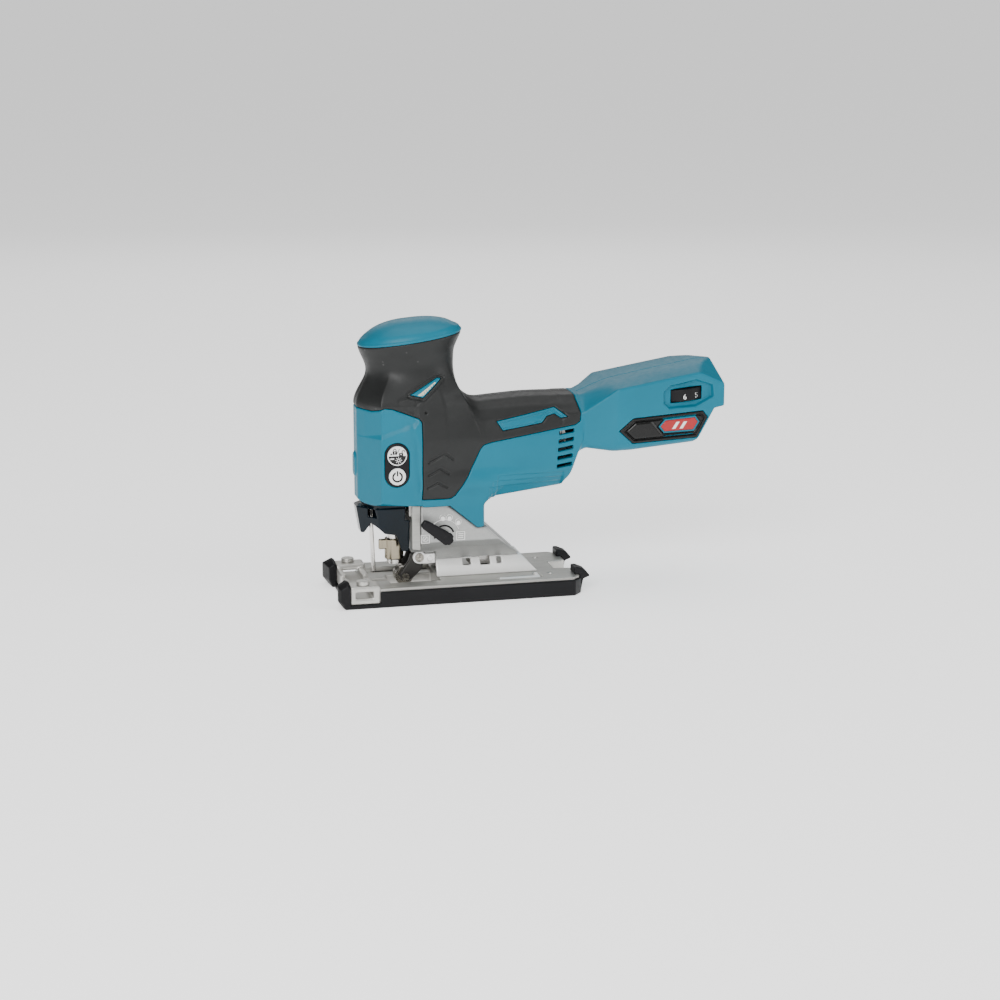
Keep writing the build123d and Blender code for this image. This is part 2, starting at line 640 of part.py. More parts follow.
def make_dust_cover():
    """A smoked skirt that narrows downwards, with a front lobe, and a collar that slides in the casing."""
    skirt = cut(tapered(([(-72.0, -6.0), (-59.0, -21.0), (-35.8, -21.0)], 66.6),
                        ([(-66.5, -5.0), (-55.5, -14.4), (-35.8, -14.4)], 33.5)),
                tapered(([(-70.2, -5.2), (-58.2, -19.2), (-30.0, -19.2)], 64.8),
                        ([(-64.6, -4.2), (-54.7, -12.6), (-30.0, -12.6)], 33.4)),
                block((-64.6, -30), (-17.9, 17.9), (60, 70)))
    collar = cut(prism_z(both_sides([(-66.5, -5.4), (-57.5, -20.0), (-39.2, -20.0)]), (64.8, 74)),
                 prism_z(both_sides([(-64.8, -4.6), (-56.7, -18.2), (-30.0, -18.2)]), (60, 80)))
    side = [(-80, 80), (-80, 47), (-66.5, 47), (-62.5, 55.0), (-58.0, 52.0), (-53.5, 47.6), (-45.0, 46.0),
            (-41.0, 33.5), (-35.8, 33.5), (-35.8, 57.2), (-39.2, 57.2), (-39.2, 80)]
    return biggest(common(join(skirt, collar), prism_y(side, (-40, 40))))


def make_orbit_lever():
    """The lever stands off the casting, so that its tip passes over the casing's edge."""
    hub = rod("Y", (LEVER_X, -36.5, LEVER_Z), 4.8, 12.1)
    turn = atan2(57.4 - LEVER_Z, -28.2 - LEVER_X)
    length = hypot(57.4 - LEVER_Z, -28.2 - LEVER_X)
    along, up = (cos(turn), sin(turn)), (-sin(turn), cos(turn))
    outline = []
    for reach, half in ((0, 4.6), (length - 1.0, 3.4), (length + 2.2, 2.4)):
        outline.append((LEVER_X + along[0] * reach - up[0] * half, LEVER_Z + along[1] * reach - up[1] * half))
    for reach, half in ((length + 2.2, 2.4), (length - 1.0, 3.4), (0, 4.6)):
        outline.append((LEVER_X + along[0] * reach + up[0] * half, LEVER_Z + along[1] * reach + up[1] * half))
    return cut(join(hub, prism_y(outline, (-36.5, -32.0))), rod("Y", (LEVER_X, -34, LEVER_Z), 3.0, 20))


def make_orbit_shaft():
    return rod("Y", (LEVER_X, -34, LEVER_Z), 3.0, 20.0)


# ---- base ----

def make_base_plate():
    """The cast plate with two guide blocks, a blade opening and a ribbed hollow underside."""
    corner = 6.0
    outline = [(-82.0, -24.0), (-61.5, -PLATE_HALF), (SOLE_REAR - corner, -PLATE_HALF),
               (SOLE_REAR, -PLATE_HALF + corner), (SOLE_REAR, -11.0), (72.0, -9.0)]
    slab = prism_z(both_sides(outline), (PLATE_BOTTOM, PLATE_TOP))
    guides = [block((-82, BLOCK_REAR), sorted((side * 23.5, side * 38.3)), (PLATE_BOTTOM, 16))
              for side in (-1, 1)]
    body = join(slab, *guides)
    tools = [block((-78.2, -65.8), (-50, 50), (7.3, 11.8)),
             block((-48.5, -15), (-10.8, 10.8), (0, 20)),
             block((-100, -48), (-4.2, 4.2), (0, 20)),
             block((-62, -15), (-23, 23), (10.2, 20)),
             block(BOLT_WINDOW, (-12.4, 12.4), (0, 20)),
             block((-56, -16), (-33, -21), (0, 9.4)), block((-56, -16), (21, 33), (0, 9.4)),
             block((-10, 68), (-33, -17), (0, 9.4)), block((-10, 68), (17, 33), (0, 9.4)),
             block((25.8, 58.2), (-30.6, -26.4), (WRENCH_Z - 2.0, 20)),
             block((53.4, 57.6), (-28.6, -18.8), (WRENCH_Z - 2.0, 20))]
    tools += [rod("Z", (-72.4, side * 32.5, 10), 2.0, 10) for side in (-1, 1)]
    tools += [rod("Z", (65.7, side * 22.4, 0), 1.6, 20) for side in (-1, 1)]
    return cut(body, *tools)


def make_base_cover():
    """The black slide cover: a sole, two side walls and four hooked corners."""
    sole = prism_z(both_sides([(SOLE_FRONT, -COVER_HALF), (80.0, -COVER_HALF), (86.0, -COVER_HALF + 7.0),
                               (86.0, -12.0), (73.5, -10.0)]), (0, PLATE_BOTTOM))
    wall = [(BLOCK_REAR + 0.2, PLATE_HALF), (BLOCK_REAR + 0.2, COVER_HALF), (80.0, COVER_HALF),
            (86.0, COVER_HALF - 7.0), (86.0, PLATE_HALF - 6.0), (SOLE_REAR, PLATE_HALF - 6.0),
            (SOLE_REAR - 6.0, PLATE_HALF)]
    walls = [prism_z([(x, side * y) for x, y in wall], (0, COVER_WALL_TOP)) for side in (-1, 1)]
    front = [(-91, 5.5), (-86.6, 0), (-82.0, 0), (-82.0, 19.4), (-84, 21), (-91, 17.4)]
    rear = [(85.0, 0.0), (86.0, 0.0), (88.0, 10.0), (93.0, 12.0), (89.4, 16.6), (84.0, 18.9), (81.0, 18.9),
            (81.0, 13.5), (85.0, 13.5)]
    hooks = []
    for side in (-1, 1):
        hooks.append(prism_y(front, sorted((side * 22.0, side * COVER_HALF))))
        hooks.append(prism_y(rear, sorted((side * 20.0, side * 32.0))))
    body = join(sole, *walls, *hooks)
    openings = [block((-48.5, -15), (-10.8, 10.8), (-1, 10)), block((-100, -48), (-4.2, 4.2), (-1, 30)),
                block(BOLT_WINDOW, (-12.4, 12.4), (-1, 10))]
    openings += [rod("Z", (65.7, side * 22.4, -1), 3.4, 10) for side in (-1, 1)]
    return cut(body, *openings)


def make_tilt_bracket():
    """A half cylinder on the plate, cut away for the clamp bolt at every bevel angle."""
    outer = rod("X", (-16, 0, TILT_Z), TILT_RADIUS, 74)
    inner = rod("X", (-20, 0, TILT_Z), TILT_RADIUS - BRACKET_WALL, 90)
    shell = cut(outer, inner, block((-30, 80), (-20, 20), (-5, PLATE_TOP)))
    slant = prism_y([(41.0, 32.0), (58.2, 13.5), (80, 13.5), (80, 32)], (-20, 20))
    windows = [prism_y([(x, 20.5), (x + width, 20.5), (x + width, 24.5), (x, 24.5)], (-20, 0))
               for x, width in ((3.5, 6.0), (28.5, 3.6))]
    slot = block((TILT_BOLT_X - 3.6, TILT_BOLT_X + 3.6), (-13.3, 13.3), (20, 32))
    return cut(shell, slant, slot, *windows)


def hexagon(axis_x, axis_y, across, z):
    radius = across / 2 / cos(pi / 6)
    return prism_z([(axis_x + radius * cos(pi / 3 * k), axis_y + radius * sin(pi / 3 * k))
                    for k in range(6)], z)


def make_tilt_bolt():
    head = cut(rod("Z", (TILT_BOLT_X, 0, 15.0), 4.6, 4.0), hexagon(TILT_BOLT_X, 0, 4.0, (14, 17.4)))
    return join(head, rod("Z", (TILT_BOLT_X, 0, 18.8), 2.95, 17.0))


def make_clamp_plate():
    """The curved clamp block that the bolt pulls up against the bracket's inside."""
    bar = common(block((10, 30), (-6.0, 6.0), (19.0, 27)),
                 rod("X", (0, 0, TILT_Z), TILT_RADIUS - BRACKET_WALL - 0.3, 60))
    return cut(bar, rod("Z", (TILT_BOLT_X, 0, 10), 3.1, 30))


def make_guide_screw(side):
    y = side * 32.5
    screw = join(rod("Z", (-72.4, y, 16.05), 4.6, 2.9), rod("Z", (-72.4, y, 11.9), 1.95, 5.3))
    slot = block((-77.4, -67.4), (y - 0.6, y + 0.6), (17.8, 20))
    return cut(screw, slot)


def make_hex_wrench():
    """The 3 mm key, lying in its groove along the plate beside the bracket."""
    long_arm = hexagon(0, 0, 3.0, (0, 29)).rotate(Axis.Y, 90).moved(Location((27, -28.5, WRENCH_Z)))
    short_arm = hexagon(0, 0, 3.0, (0, 9)).rotate(Axis.X, -90).moved(Location((55.5, -28.5, WRENCH_Z)))
    return join(long_arm, short_arm)


# ---- fasteners ----

def make_housing_screws():
    """Pan-head screws driven in from the right-hand side."""
    screws = []
    for x, z in SCREW_PLACES:
        head = cut(rod("Y", (x, 16.0, z), 3.1, 2.2), hexagon(0, 0, 2.4, (0, 1.4)).rotate(Axis.X, -90).moved(
            Location((x, 17.2, z))))
        screws.append(join(head, rod("Y", (x, 0, z), 1.6, 16.2), rod("Y", (x, -13, z), 1.3, 13.2)))
    return group(screws)


def save(name, shape):
    NODES[name] = biggest(shape, 0.5)


def main():
    shell, grip = make_casing()
    gear_housing = make_gear_housing()
    drive_room = [block((-54.3, -1.8), (-22.8, 22.8), (60, 121.3)),
                  block((-54.3, -36), (-11.3, 11.3), (60, 128.3))]
    shell = cut(cut_casing(shell), gear_housing, *drive_room)
    panel_left = make_switch_panel()
    panel_face = capsule(PANEL_X, PANEL_LOW, PANEL_HIGH, PANEL_WIDTH, (-COLUMN_HALF - 3, -COLUMN_HALF + 1.4))
    shell = cut(shell, panel_face, mirrored(panel_face))
    left, right = halves(shell)
    save("housing_left", biggest(left))
    save("housing_right", biggest(right))
    grip_left, grip_right = halves(cut(grip, vent_slots(), *screw_holes()))
    save("grip_left", biggest(grip_left))
    save("grip_right", biggest(grip_right))
    save("top_cap", group(make_top_cap()))

    inlay = prism_y(inlay_outline(0.1), (-BLOCK_HALF - 0.3, -BLOCK_HALF + 1.6))
    save("side_inlay_left", group(inlay))
    save("side_inlay_right", group(mirrored(inlay)))
    save("switch_panel_left", panel_left)
    save("switch_panel_right", mirrored(panel_left))
    for name, place in (("lock_button", LOCK_BUTTON), ("power_button", POWER_BUTTON)):
        save(name + "_left", make_button(place))
        save(name + "_right", mirrored(make_button(place)))
    save("switch_board", make_switch_board())
    save("controller_board", group(block((124, 146), (-26, 26), (119, 132))))
    save("speed_dial", make_speed_dial())
    save("dial_potentiometer", make_dial_pot())
    save("terminal_block", make_terminal_block())
    save("terminal_blades", make_terminal_blades())
    save("led_lens", group(block((-54, -48), (11.0, 16.5), (CASING_BOTTOM + 0.6, CASING_BOTTOM + 3.4))))

    save("motor_stator", make_stator())
    save("stator_coils", make_coils())
    save("rotor_core", make_rotor_core())
    save("rotor_shaft", make_rotor_shaft())
    save("fan", make_fan())
    save("front_bearing", make_bearing(-9, MOTOR_Z, 11.0, 3.0 + FIT, 7))
    save("rear_bearing", make_bearing(80.5, MOTOR_Z, 9.0, 3.0 + FIT, 6))
    save("gear_bearing", make_bearing(-14, GEAR_Z, 10.0, 4.0 + FIT, 6))
    save("crank_gear", make_crank_gear())
    save("crank_shaft", group(rod("X", (GEAR_FRONT, 0, GEAR_Z), 4.0, 21)))
    save("gear_housing", gear_housing)
    save("yoke_slider", make_yoke())
    save("crank_pin", make_crank_pin())
    save("plunger_rod", group(make_plunger_rod()))
    save("plunger_bush_lower", tube("Z", (BLADE_X, 0, 68.0), 6.8, ROD_RADIUS + FIT, 6.6))
    save("plunger_bush_upper", tube("Z", (BLADE_X, 0, 116.4), 6.8, ROD_RADIUS + FIT, 10.0))

    save("blade_clamp", make_blade_clamp())
    save("clamp_sleeve", make_clamp_sleeve())
    save("guard_wire", group(make_guard_wire()))
    save("arm_plates", make_arm_plates())
    save("arm_pin", make_arm_pin())
    save("roller_arm", make_roller_arm())
    save("guide_roller", make_guide_roller())
    save("roller_pin", make_roller_pin())
    save("dust_cover", make_dust_cover())
    save("orbit_lever", make_orbit_lever())
    save("orbit_shaft", group(make_orbit_shaft()))

    save("base_plate", make_base_plate())
    save("base_cover", make_base_cover())
    save("tilt_bracket", make_tilt_bracket())
    save("tilt_bolt", make_tilt_bolt())
    save("clamp_plate", make_clamp_plate())
    save("guide_screw_left", make_guide_screw(-1))
    save("guide_screw_right", make_guide_screw(1))
    save("hex_wrench", make_hex_wrench())
    save("housing_screws", make_housing_screws())

    os.makedirs("parts", exist_ok=True)
    for name, shape in NODES.items():
        export_step(shape, "parts/" + name + ".step")


main()
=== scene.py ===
from itertools import product
import json
from math import cos, pi, radians, sin

import bmesh
import bpy
import numpy as np
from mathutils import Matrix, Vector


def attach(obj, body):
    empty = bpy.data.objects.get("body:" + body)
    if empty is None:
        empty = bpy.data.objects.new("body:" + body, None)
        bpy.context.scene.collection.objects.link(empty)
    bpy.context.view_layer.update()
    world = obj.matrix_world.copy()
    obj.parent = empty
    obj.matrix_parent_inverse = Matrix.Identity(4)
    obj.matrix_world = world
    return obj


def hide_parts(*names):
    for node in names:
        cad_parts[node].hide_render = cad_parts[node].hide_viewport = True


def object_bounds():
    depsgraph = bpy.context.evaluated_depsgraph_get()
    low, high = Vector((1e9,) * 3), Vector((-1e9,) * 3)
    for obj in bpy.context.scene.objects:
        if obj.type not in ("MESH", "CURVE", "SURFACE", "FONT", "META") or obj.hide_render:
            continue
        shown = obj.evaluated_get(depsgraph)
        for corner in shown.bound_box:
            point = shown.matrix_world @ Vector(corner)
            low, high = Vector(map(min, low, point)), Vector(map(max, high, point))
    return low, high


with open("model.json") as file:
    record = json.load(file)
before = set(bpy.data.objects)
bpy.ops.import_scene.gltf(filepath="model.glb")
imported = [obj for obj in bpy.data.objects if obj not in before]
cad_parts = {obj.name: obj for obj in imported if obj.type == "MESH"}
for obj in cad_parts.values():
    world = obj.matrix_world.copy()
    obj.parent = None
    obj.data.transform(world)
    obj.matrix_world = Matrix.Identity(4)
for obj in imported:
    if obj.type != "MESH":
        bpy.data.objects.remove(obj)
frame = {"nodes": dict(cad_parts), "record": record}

import openvdb
from mathutils import Matrix, Vector

# The looks of a bare cordless jigsaw. Lengths are millimetres in the frame of the CAD model, apart from
# the camera, lamps and floor, and each mesh is turned into metres as it is made. The tool's front is at
# -X, and -Y is the user's left, which the camera sees.

CAD_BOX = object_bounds()
FLOOR_Z = CAD_BOX[0].z
MM = 0.001
CASING_STEP = 0.5                       # voxel of the casing's distance field
GRIP_DEPTH, WALL = 2.4, 4.2             # thickness of the soft skin, and of the shell with it


# ---- camera, light and floor: metres ----

CAMERA_AZIMUTH, CAMERA_ELEVATION = radians(-13.25), radians(13.36)      # the left side, a little ahead
CAMERA_TARGET, CAMERA_DISTANCE = (0.0339, 0.0, 0.0637), 1.6283
SENSOR_WIDTH, FOCAL_LENGTH = 36.0, 81.48                                # mm
LAMP_TARGET = (0.05, 0, 0.1)
LAMPS = [("key", (-0.7, -1.6, 1.1), (1.3, 1.0), 42), ("side", (1.5, -1.0, 0.8), (1.0, 1.0), 13),
         ("top", (0.1, 0.2, 1.8), (1.6, 1.6), 17), ("back", (0.3, 1.8, 1.0), (1.4, 1.0), 5)]
FLOOR_REACH, FLOOR_GLOW, SURROUND_GLOW = 60.0, 0.86, 0.16


def make_camera():
    azimuth, elevation = CAMERA_AZIMUTH, CAMERA_ELEVATION
    back = Vector((sin(azimuth) * cos(elevation), -cos(azimuth) * cos(elevation), sin(elevation)))
    data = bpy.data.cameras.new("camera")
    data.sensor_width, data.lens = SENSOR_WIDTH, FOCAL_LENGTH
    data.clip_start, data.clip_end = 0.05, 200.0
    camera = bpy.data.objects.new("camera", data)
    camera.location = Vector(CAMERA_TARGET) + back * CAMERA_DISTANCE
    camera.rotation_mode = "QUATERNION"
    camera.rotation_quaternion = (-back).to_track_quat("-Z", "Y")
    bpy.context.scene.collection.objects.link(camera)
    bpy.context.scene.camera = camera


def area_light(name, place, size, watts):
    data = bpy.data.lights.new(name, "AREA")
    data.shape, data.size, data.size_y = "RECTANGLE", *size
    data.energy = watts
    lamp = bpy.data.objects.new(name, data)
    lamp.location = place
    lamp.rotation_mode = "QUATERNION"
    lamp.rotation_quaternion = (Vector(LAMP_TARGET) - Vector(place)).to_track_quat("-Z", "Y")
    bpy.context.scene.collection.objects.link(lamp)


def make_stage():
    """A wide pale floor, soft lamps and a dim white surround."""
    mesh = bmesh.new()
    corners = [(-1, -1), (1, -1), (1, 1), (-1, 1)]
    mesh.faces.new([mesh.verts.new((x * FLOOR_REACH, y * FLOOR_REACH, 0.0)) for x, y in corners])
    data = bpy.data.meshes.new("floor")
    mesh.to_mesh(data)
    floor = bpy.data.objects.new("floor", data)
    floor.location.z = FLOOR_Z
    bpy.context.scene.collection.objects.link(floor)
    paper = plain_material("floor_paper", (0.93, 0.93, 0.93), 0.7)
    shader = paper.node_tree.nodes["Principled BSDF"]
    shader.inputs["Emission Color"].default_value = (1, 1, 1, 1)
    shader.inputs["Emission Strength"].default_value = FLOOR_GLOW
    data.materials.append(paper)
    for lamp in LAMPS:
        area_light(*lamp)
    world = bpy.data.worlds.new("surround")
    bpy.context.scene.world = world
    world.use_nodes = True
    background = world.node_tree.nodes["Background"]
    background.inputs["Color"].default_value = (1, 1, 1, 1)
    background.inputs["Strength"].default_value = SURROUND_GLOW


# ---- materials ----

class Nodes:
    """A short way to build one material's nodes."""

    def __init__(self, name):
        self.material = bpy.data.materials.new(name)
        self.material.use_nodes = True
        self.tree = self.material.node_tree
        self.shader = self.tree.nodes["Principled BSDF"]
        self.place = self.add("ShaderNodeTexCoord").outputs["Object"]

    def add(self, kind, settings=None, **inputs):
        made = self.tree.nodes.new(kind)
        for key, value in (settings or {}).items():
            setattr(made, key, value)
        for key, value in inputs.items():
            self.put(made, key.replace("_", " "), value)
        return made

    def put(self, made, socket, value):
        if isinstance(value, bpy.types.NodeSocket):
            self.tree.links.new(value, made.inputs[socket])
        else:
            made.inputs[socket].default_value = value

    def set(self, **inputs):
        for key, value in inputs.items():
            self.put(self.shader, key.replace("_", " "), value)

    def noise(self, per_mm, detail=3.0, stretch=None, roughness=0.55):
        """Noise with about this many features to a millimetre, drawn out along an axis if asked."""
        vector = self.place
        if stretch:
            vector = self.add("ShaderNodeMapping", Vector=vector, Scale=stretch).outputs["Vector"]
        made = self.add("ShaderNodeTexNoise", Vector=vector, Scale=per_mm * 1000, Detail=detail,
                        Roughness=roughness)
        return made.outputs["Fac"]

    def ramp(self, value, low, high, out_low=0.0, out_high=1.0):
        made = self.add("ShaderNodeMapRange", Value=value, From_Min=low, From_Max=high, To_Min=out_low,
                        To_Max=out_high)
        return made.outputs["Result"]

    def mix(self, factor, first, second):
        made = self.add("ShaderNodeMix", {"data_type": "RGBA"})
        for index, value in ((0, factor), (6, first), (7, second)):
            if isinstance(value, bpy.types.NodeSocket):
                self.tree.links.new(value, made.inputs[index])
            else:
                made.inputs[index].default_value = value if index == 0 else (*value, 1)
        return made.outputs[2]

    def bump(self, height, strength, distance_mm):
        made = self.add("ShaderNodeBump", Height=height, Strength=strength, Distance=distance_mm * MM)
        return made.outputs["Normal"]

    def times(self, first, second):
        made = self.add("ShaderNodeMath", {"operation": "MULTIPLY"})
        for index, value in enumerate((first, second)):
            self.tree.links.new(value, made.inputs[index])
        return made.outputs[0]


def plain_material(name, colour, roughness):
    nodes = Nodes(name)
    nodes.set(Base_Color=(*colour, 1), Roughness=roughness)
    return nodes.material


def moulded(name, colour, roughness, grain, depth, edge, mottle, shine):
    """Spark-textured moulded plastic or rubber: fine grain, faint mottling, and edges made paler both as
    rubbing wear and as a painted highlight.
    """
    nodes = Nodes(name)
    dark = [c * (1 - mottle) for c in colour]
    light = [c + (1 - c) * 0.10 for c in colour]
    cloud = nodes.ramp(nodes.noise(0.03, 4.0), 0.3, 0.7)
    base = nodes.mix(cloud, dark, colour)
    # Sharp edges are lightened, partly as rubbing wear and partly as a painted highlight where edges catch
    # the light.
    edge_wear_and_highlight = nodes.ramp(nodes.add("ShaderNodeNewGeometry").outputs["Pointiness"], 0.52, 0.60, 0.0, edge)
    patch = nodes.ramp(nodes.noise(0.35, 3.0), 0.35, 0.65, 0.5, 1.0)
    base = nodes.mix(nodes.times(edge_wear_and_highlight, patch), base, light)
    fine = nodes.noise(grain, 2.0)
    rough = nodes.ramp(nodes.noise(0.25, 4.0), 0.3, 0.7, roughness - 0.05, roughness + 0.06)
    nodes.set(Base_Color=base, Roughness=rough, Normal=nodes.bump(fine, 0.55, depth),
              Specular_IOR_Level=shine)
    return nodes.material


def metal(name, colour, roughness, metallic, grain, depth, brushed, stain, fleck):
    """Cast, ground or plated metal: grain or brush lines, flecks and faint stains."""
    nodes = Nodes(name)
    stretch = {"X": (0.03, 1, 1), "Y": (1, 0.03, 1), "Z": (1, 1, 0.03)}.get(brushed)
    lines = nodes.noise(grain, 4.0, stretch, 0.65)
    cloud = nodes.ramp(nodes.noise(0.06, 5.0), 0.32, 0.68)
    base = nodes.mix(cloud, [c * (1 - stain) for c in colour], colour)
    base = nodes.mix(nodes.ramp(lines, 0.35, 0.65, 0.0, fleck), base, [c * 0.55 for c in colour])
    rough = nodes.ramp(lines, 0.3, 0.7, roughness - 0.08, roughness + 0.08)
    nodes.set(Base_Color=base, Roughness=rough, Metallic=metallic, Normal=nodes.bump(lines, 0.6, depth))
    return nodes.material


# colour, roughness, grain, depth in mm, paler edges (rubbing wear and painted highlight), mottling, specular
# level
MOULDED = {
    "teal_plastic": ((0.0, 0.138, 0.210), 0.40, 2.2, 0.010, 0.25, 0.10, 0.25),
    "grip_rubber": ((0.015, 0.0160, 0.0158), 0.45, 1.8, 0.020, 0.35, 0.30, 0.28),
    "black_plastic": ((0.007, 0.007, 0.008), 0.44, 1.8, 0.014, 0.2, 0.3, 0.18),
    "gloss_black": ((0.006, 0.006, 0.006), 0.28, 1.2, 0.006, 0.1, 0.2, 0.28),
    "white_print": ((0.80, 0.80, 0.79), 0.38, 2.0, 0.006, 0.2, 0.05, 0.5),
    "cream_inset": ((0.58, 0.55, 0.42), 0.4, 2.0, 0.008, 0.3, 0.15, 0.5),
    "red_badge": ((0.34, 0.005, 0.008), 0.30, 2.0, 0.006, 0.3, 0.10, 0.5),
    "potting": ((0.03, 0.03, 0.03), 0.5, 1.0, 0.03, 0.2, 0.2, 0.5),
    "fan_plastic": ((0.10, 0.10, 0.10), 0.45, 1.5, 0.01, 0.2, 0.1, 0.5),
}
# colour, roughness, metallic, grain, depth in mm, brushed along, stain, fleck
METALS = {
    "cast_aluminium": ((0.43, 0.435, 0.425), 0.38, 0.70, 1.6, 0.045, None, 0.14, 0.40),
    "bright_cast": ((0.58, 0.57, 0.535), 0.34, 0.65, 1.3, 0.035, None, 0.12, 0.25),
    "plate_cast": ((0.44, 0.438, 0.41), 0.40, 0.60, 1.0, 0.025, "X", 0.16, 0.30),
    "bright_steel": ((0.88, 0.88, 0.86), 0.38, 0.35, 0.9, 0.010, "X", 0.06, 0.10),
    "steel": ((0.50, 0.49, 0.47), 0.30, 1.0, 1.2, 0.012, "X", 0.12, 0.15),
    "turned_steel": ((0.36, 0.34, 0.30), 0.28, 1.0, 1.4, 0.012, "Y", 0.12, 0.2),
    "rod_steel": ((0.72, 0.70, 0.67), 0.22, 1.0, 1.4, 0.008, "Z", 0.08, 0.1),
    "nickel": ((0.33, 0.29, 0.215), 0.22, 1.0, 1.1, 0.014, "Z", 0.14, 0.16),
    "bronze": ((0.50, 0.31, 0.13), 0.42, 1.0, 1.5, 0.03, None, 0.2, 0.3),
    "contact_metal": ((0.75, 0.58, 0.28), 0.28, 1.0, 1.2, 0.01, "X", 0.1, 0.1),
    "black_steel": ((0.050, 0.048, 0.045), 0.42, 0.7, 1.2, 0.03, None, 0.3, 0.2),
}


def make_materials():
    clear = Nodes("smoked_clear")
    # The paler of the two dark colours is drawn out into vertical streaks: these are painted highlights on
    # the smoked cover.
    painted_streak_highlight = clear.noise(0.08, 4.0, (1, 1, 0.4))
    clear.set(Base_Color=clear.mix(painted_streak_highlight, (0.001, 0.004, 0.007), (0.003, 0.009, 0.015)),
              Roughness=clear.ramp(clear.noise(0.5, 3.0), 0.3, 0.7, 0.08, 0.18),
              Transmission_Weight=0.12, IOR=1.5, Specular_IOR_Level=0.16,
              Normal=clear.bump(clear.noise(0.12, 2.0), 0.25, 0.15))
    # The lens's dark grey is painted shade: it stands for the shadow that the small lens sits in beneath the
    # housing.
    lens = Nodes("clear_lens")
    lens.set(Base_Color=lens.mix(lens.noise(0.4), (0.10, 0.11, 0.12), (0.18, 0.19, 0.20)), Roughness=0.12,
             Transmission_Weight=0.8, Normal=lens.bump(lens.noise(0.6), 0.4, 0.08))
    winding = Nodes("copper")
    wire = winding.add("ShaderNodeTexWave", {"bands_direction": "X"}, Vector=winding.place, Scale=620.0,
                       Distortion=0.6, Detail=1.0).outputs["Fac"]
    winding.set(Base_Color=winding.mix(wire, (0.30, 0.10, 0.03), (0.72, 0.33, 0.13)), Metallic=0.8,
                Roughness=0.35, Normal=winding.bump(wire, 0.9, 0.15))
    sheets = Nodes("lamination")
    layer = sheets.add("ShaderNodeTexWave", {"bands_direction": "X"}, Vector=sheets.place, Scale=450.0,
                       Distortion=0.2, Detail=1.0).outputs["Fac"]
    sheets.set(Base_Color=sheets.mix(layer, (0.10, 0.10, 0.11), (0.34, 0.34, 0.36)), Metallic=0.9,
               Roughness=0.42, Normal=sheets.bump(layer, 0.8, 0.08))
    board = Nodes("circuit_board")
    cells = board.add("ShaderNodeTexVoronoi", {"distance": "CHEBYCHEV"}, Vector=board.place,
                      Scale=520.0).outputs["Distance"]
    board.set(Base_Color=board.mix(board.ramp(cells, 0.28, 0.34), (0.01, 0.09, 0.03), (0.03, 0.20, 0.08)),
              Roughness=0.4, Normal=board.bump(cells, 0.4, 0.05))
    made = {name: moulded(name, *values) for name, values in MOULDED.items()}
    made.update({name: metal(name, *values) for name, values in METALS.items()})
    made.update(smoked_clear=clear.material, clear_lens=lens.material, copper=winding.material,
                lamination=sheets.material, circuit_board=board.material)
    return made


# ---- distance fields: negative inside ----

def smooth_max(a, b, k):
    h = np.clip(0.5 + 0.5 * (a - b) / k, 0, 1)
    return b + (a - b) * h + k * h * (1 - h)


def smooth_min(a, b, k):
    return -smooth_max(-a, -b, k)


def step_up(value, low, high):
    t = np.clip((value - low) / (high - low), 0, 1)
    return t * t * (3 - 2 * t)


def polygon(u, v, points):
    """Distance to a closed outline in a plane, negative inside it."""
    nearest, sign = np.float32(1e9), np.float32(1)
    for k, (bu, bv) in enumerate(points):
        au, av = points[k - 1]
        eu, ev, wu, wv = bu - au, bv - av, u - au, v - av
        t = np.clip((wu * eu + wv * ev) / (eu * eu + ev * ev), 0, 1)
        nearest = np.minimum(nearest, (wu - eu * t) ** 2 + (wv - ev * t) ** 2)
        above, below, left = v >= av, v < bv, eu * wv > ev * wu
        sign = np.where((above & below & left) | ~(above | below | left), -sign, sign)
    return (sign * np.sqrt(nearest)).astype(np.float32)


def polyline(u, v, points):
    """Distance to an open line in a plane."""
    nearest = np.float32(1e9)
    for (au, av), (bu, bv) in zip(points, points[1:]):
        eu, ev, wu, wv = bu - au, bv - av, u - au, v - av
        t = np.clip((wu * eu + wv * ev) / (eu * eu + ev * ev), 0, 1)
        nearest = np.minimum(nearest, (wu - eu * t) ** 2 + (wv - ev * t) ** 2)
    return np.sqrt(nearest).astype(np.float32)


def blurred(flat, sigma):
    """A plane field with its corners rounded off, by a blur of sigma cells along its two long axes."""
    reach = int(3 * sigma) + 1
    kernel = np.exp(-0.5 * (np.arange(-reach, reach + 1) / sigma) ** 2)
    kernel /= kernel.sum()
    for axis in (a for a in range(3) if flat.shape[a] > 1):
        padded = np.pad(flat, [(reach, reach) if a == axis else (0, 0) for a in range(3)], mode="reflect",
                        reflect_type="odd")
        flat = sum(weight * np.take(padded, range(k, k + flat.shape[axis]), axis)
                   for k, weight in enumerate(kernel))
    return flat.astype(np.float32)


def profile(value, places, sizes, soft=2.0):
    """A smooth curve through stations, read at each value."""
    fine = np.arange(places[0] - 4 * soft, places[-1] + 4 * soft, 0.5)
    line = np.interp(fine, places, sizes)
    reach = int(3 * soft / 0.5)
    kernel = np.exp(-0.5 * (np.arange(-reach, reach + 1) * 0.5 / soft) ** 2)
    line = np.convolve(np.pad(line, reach, mode="edge"), kernel / kernel.sum(), mode="valid")
    return np.interp(value, fine, line).astype(np.float32)


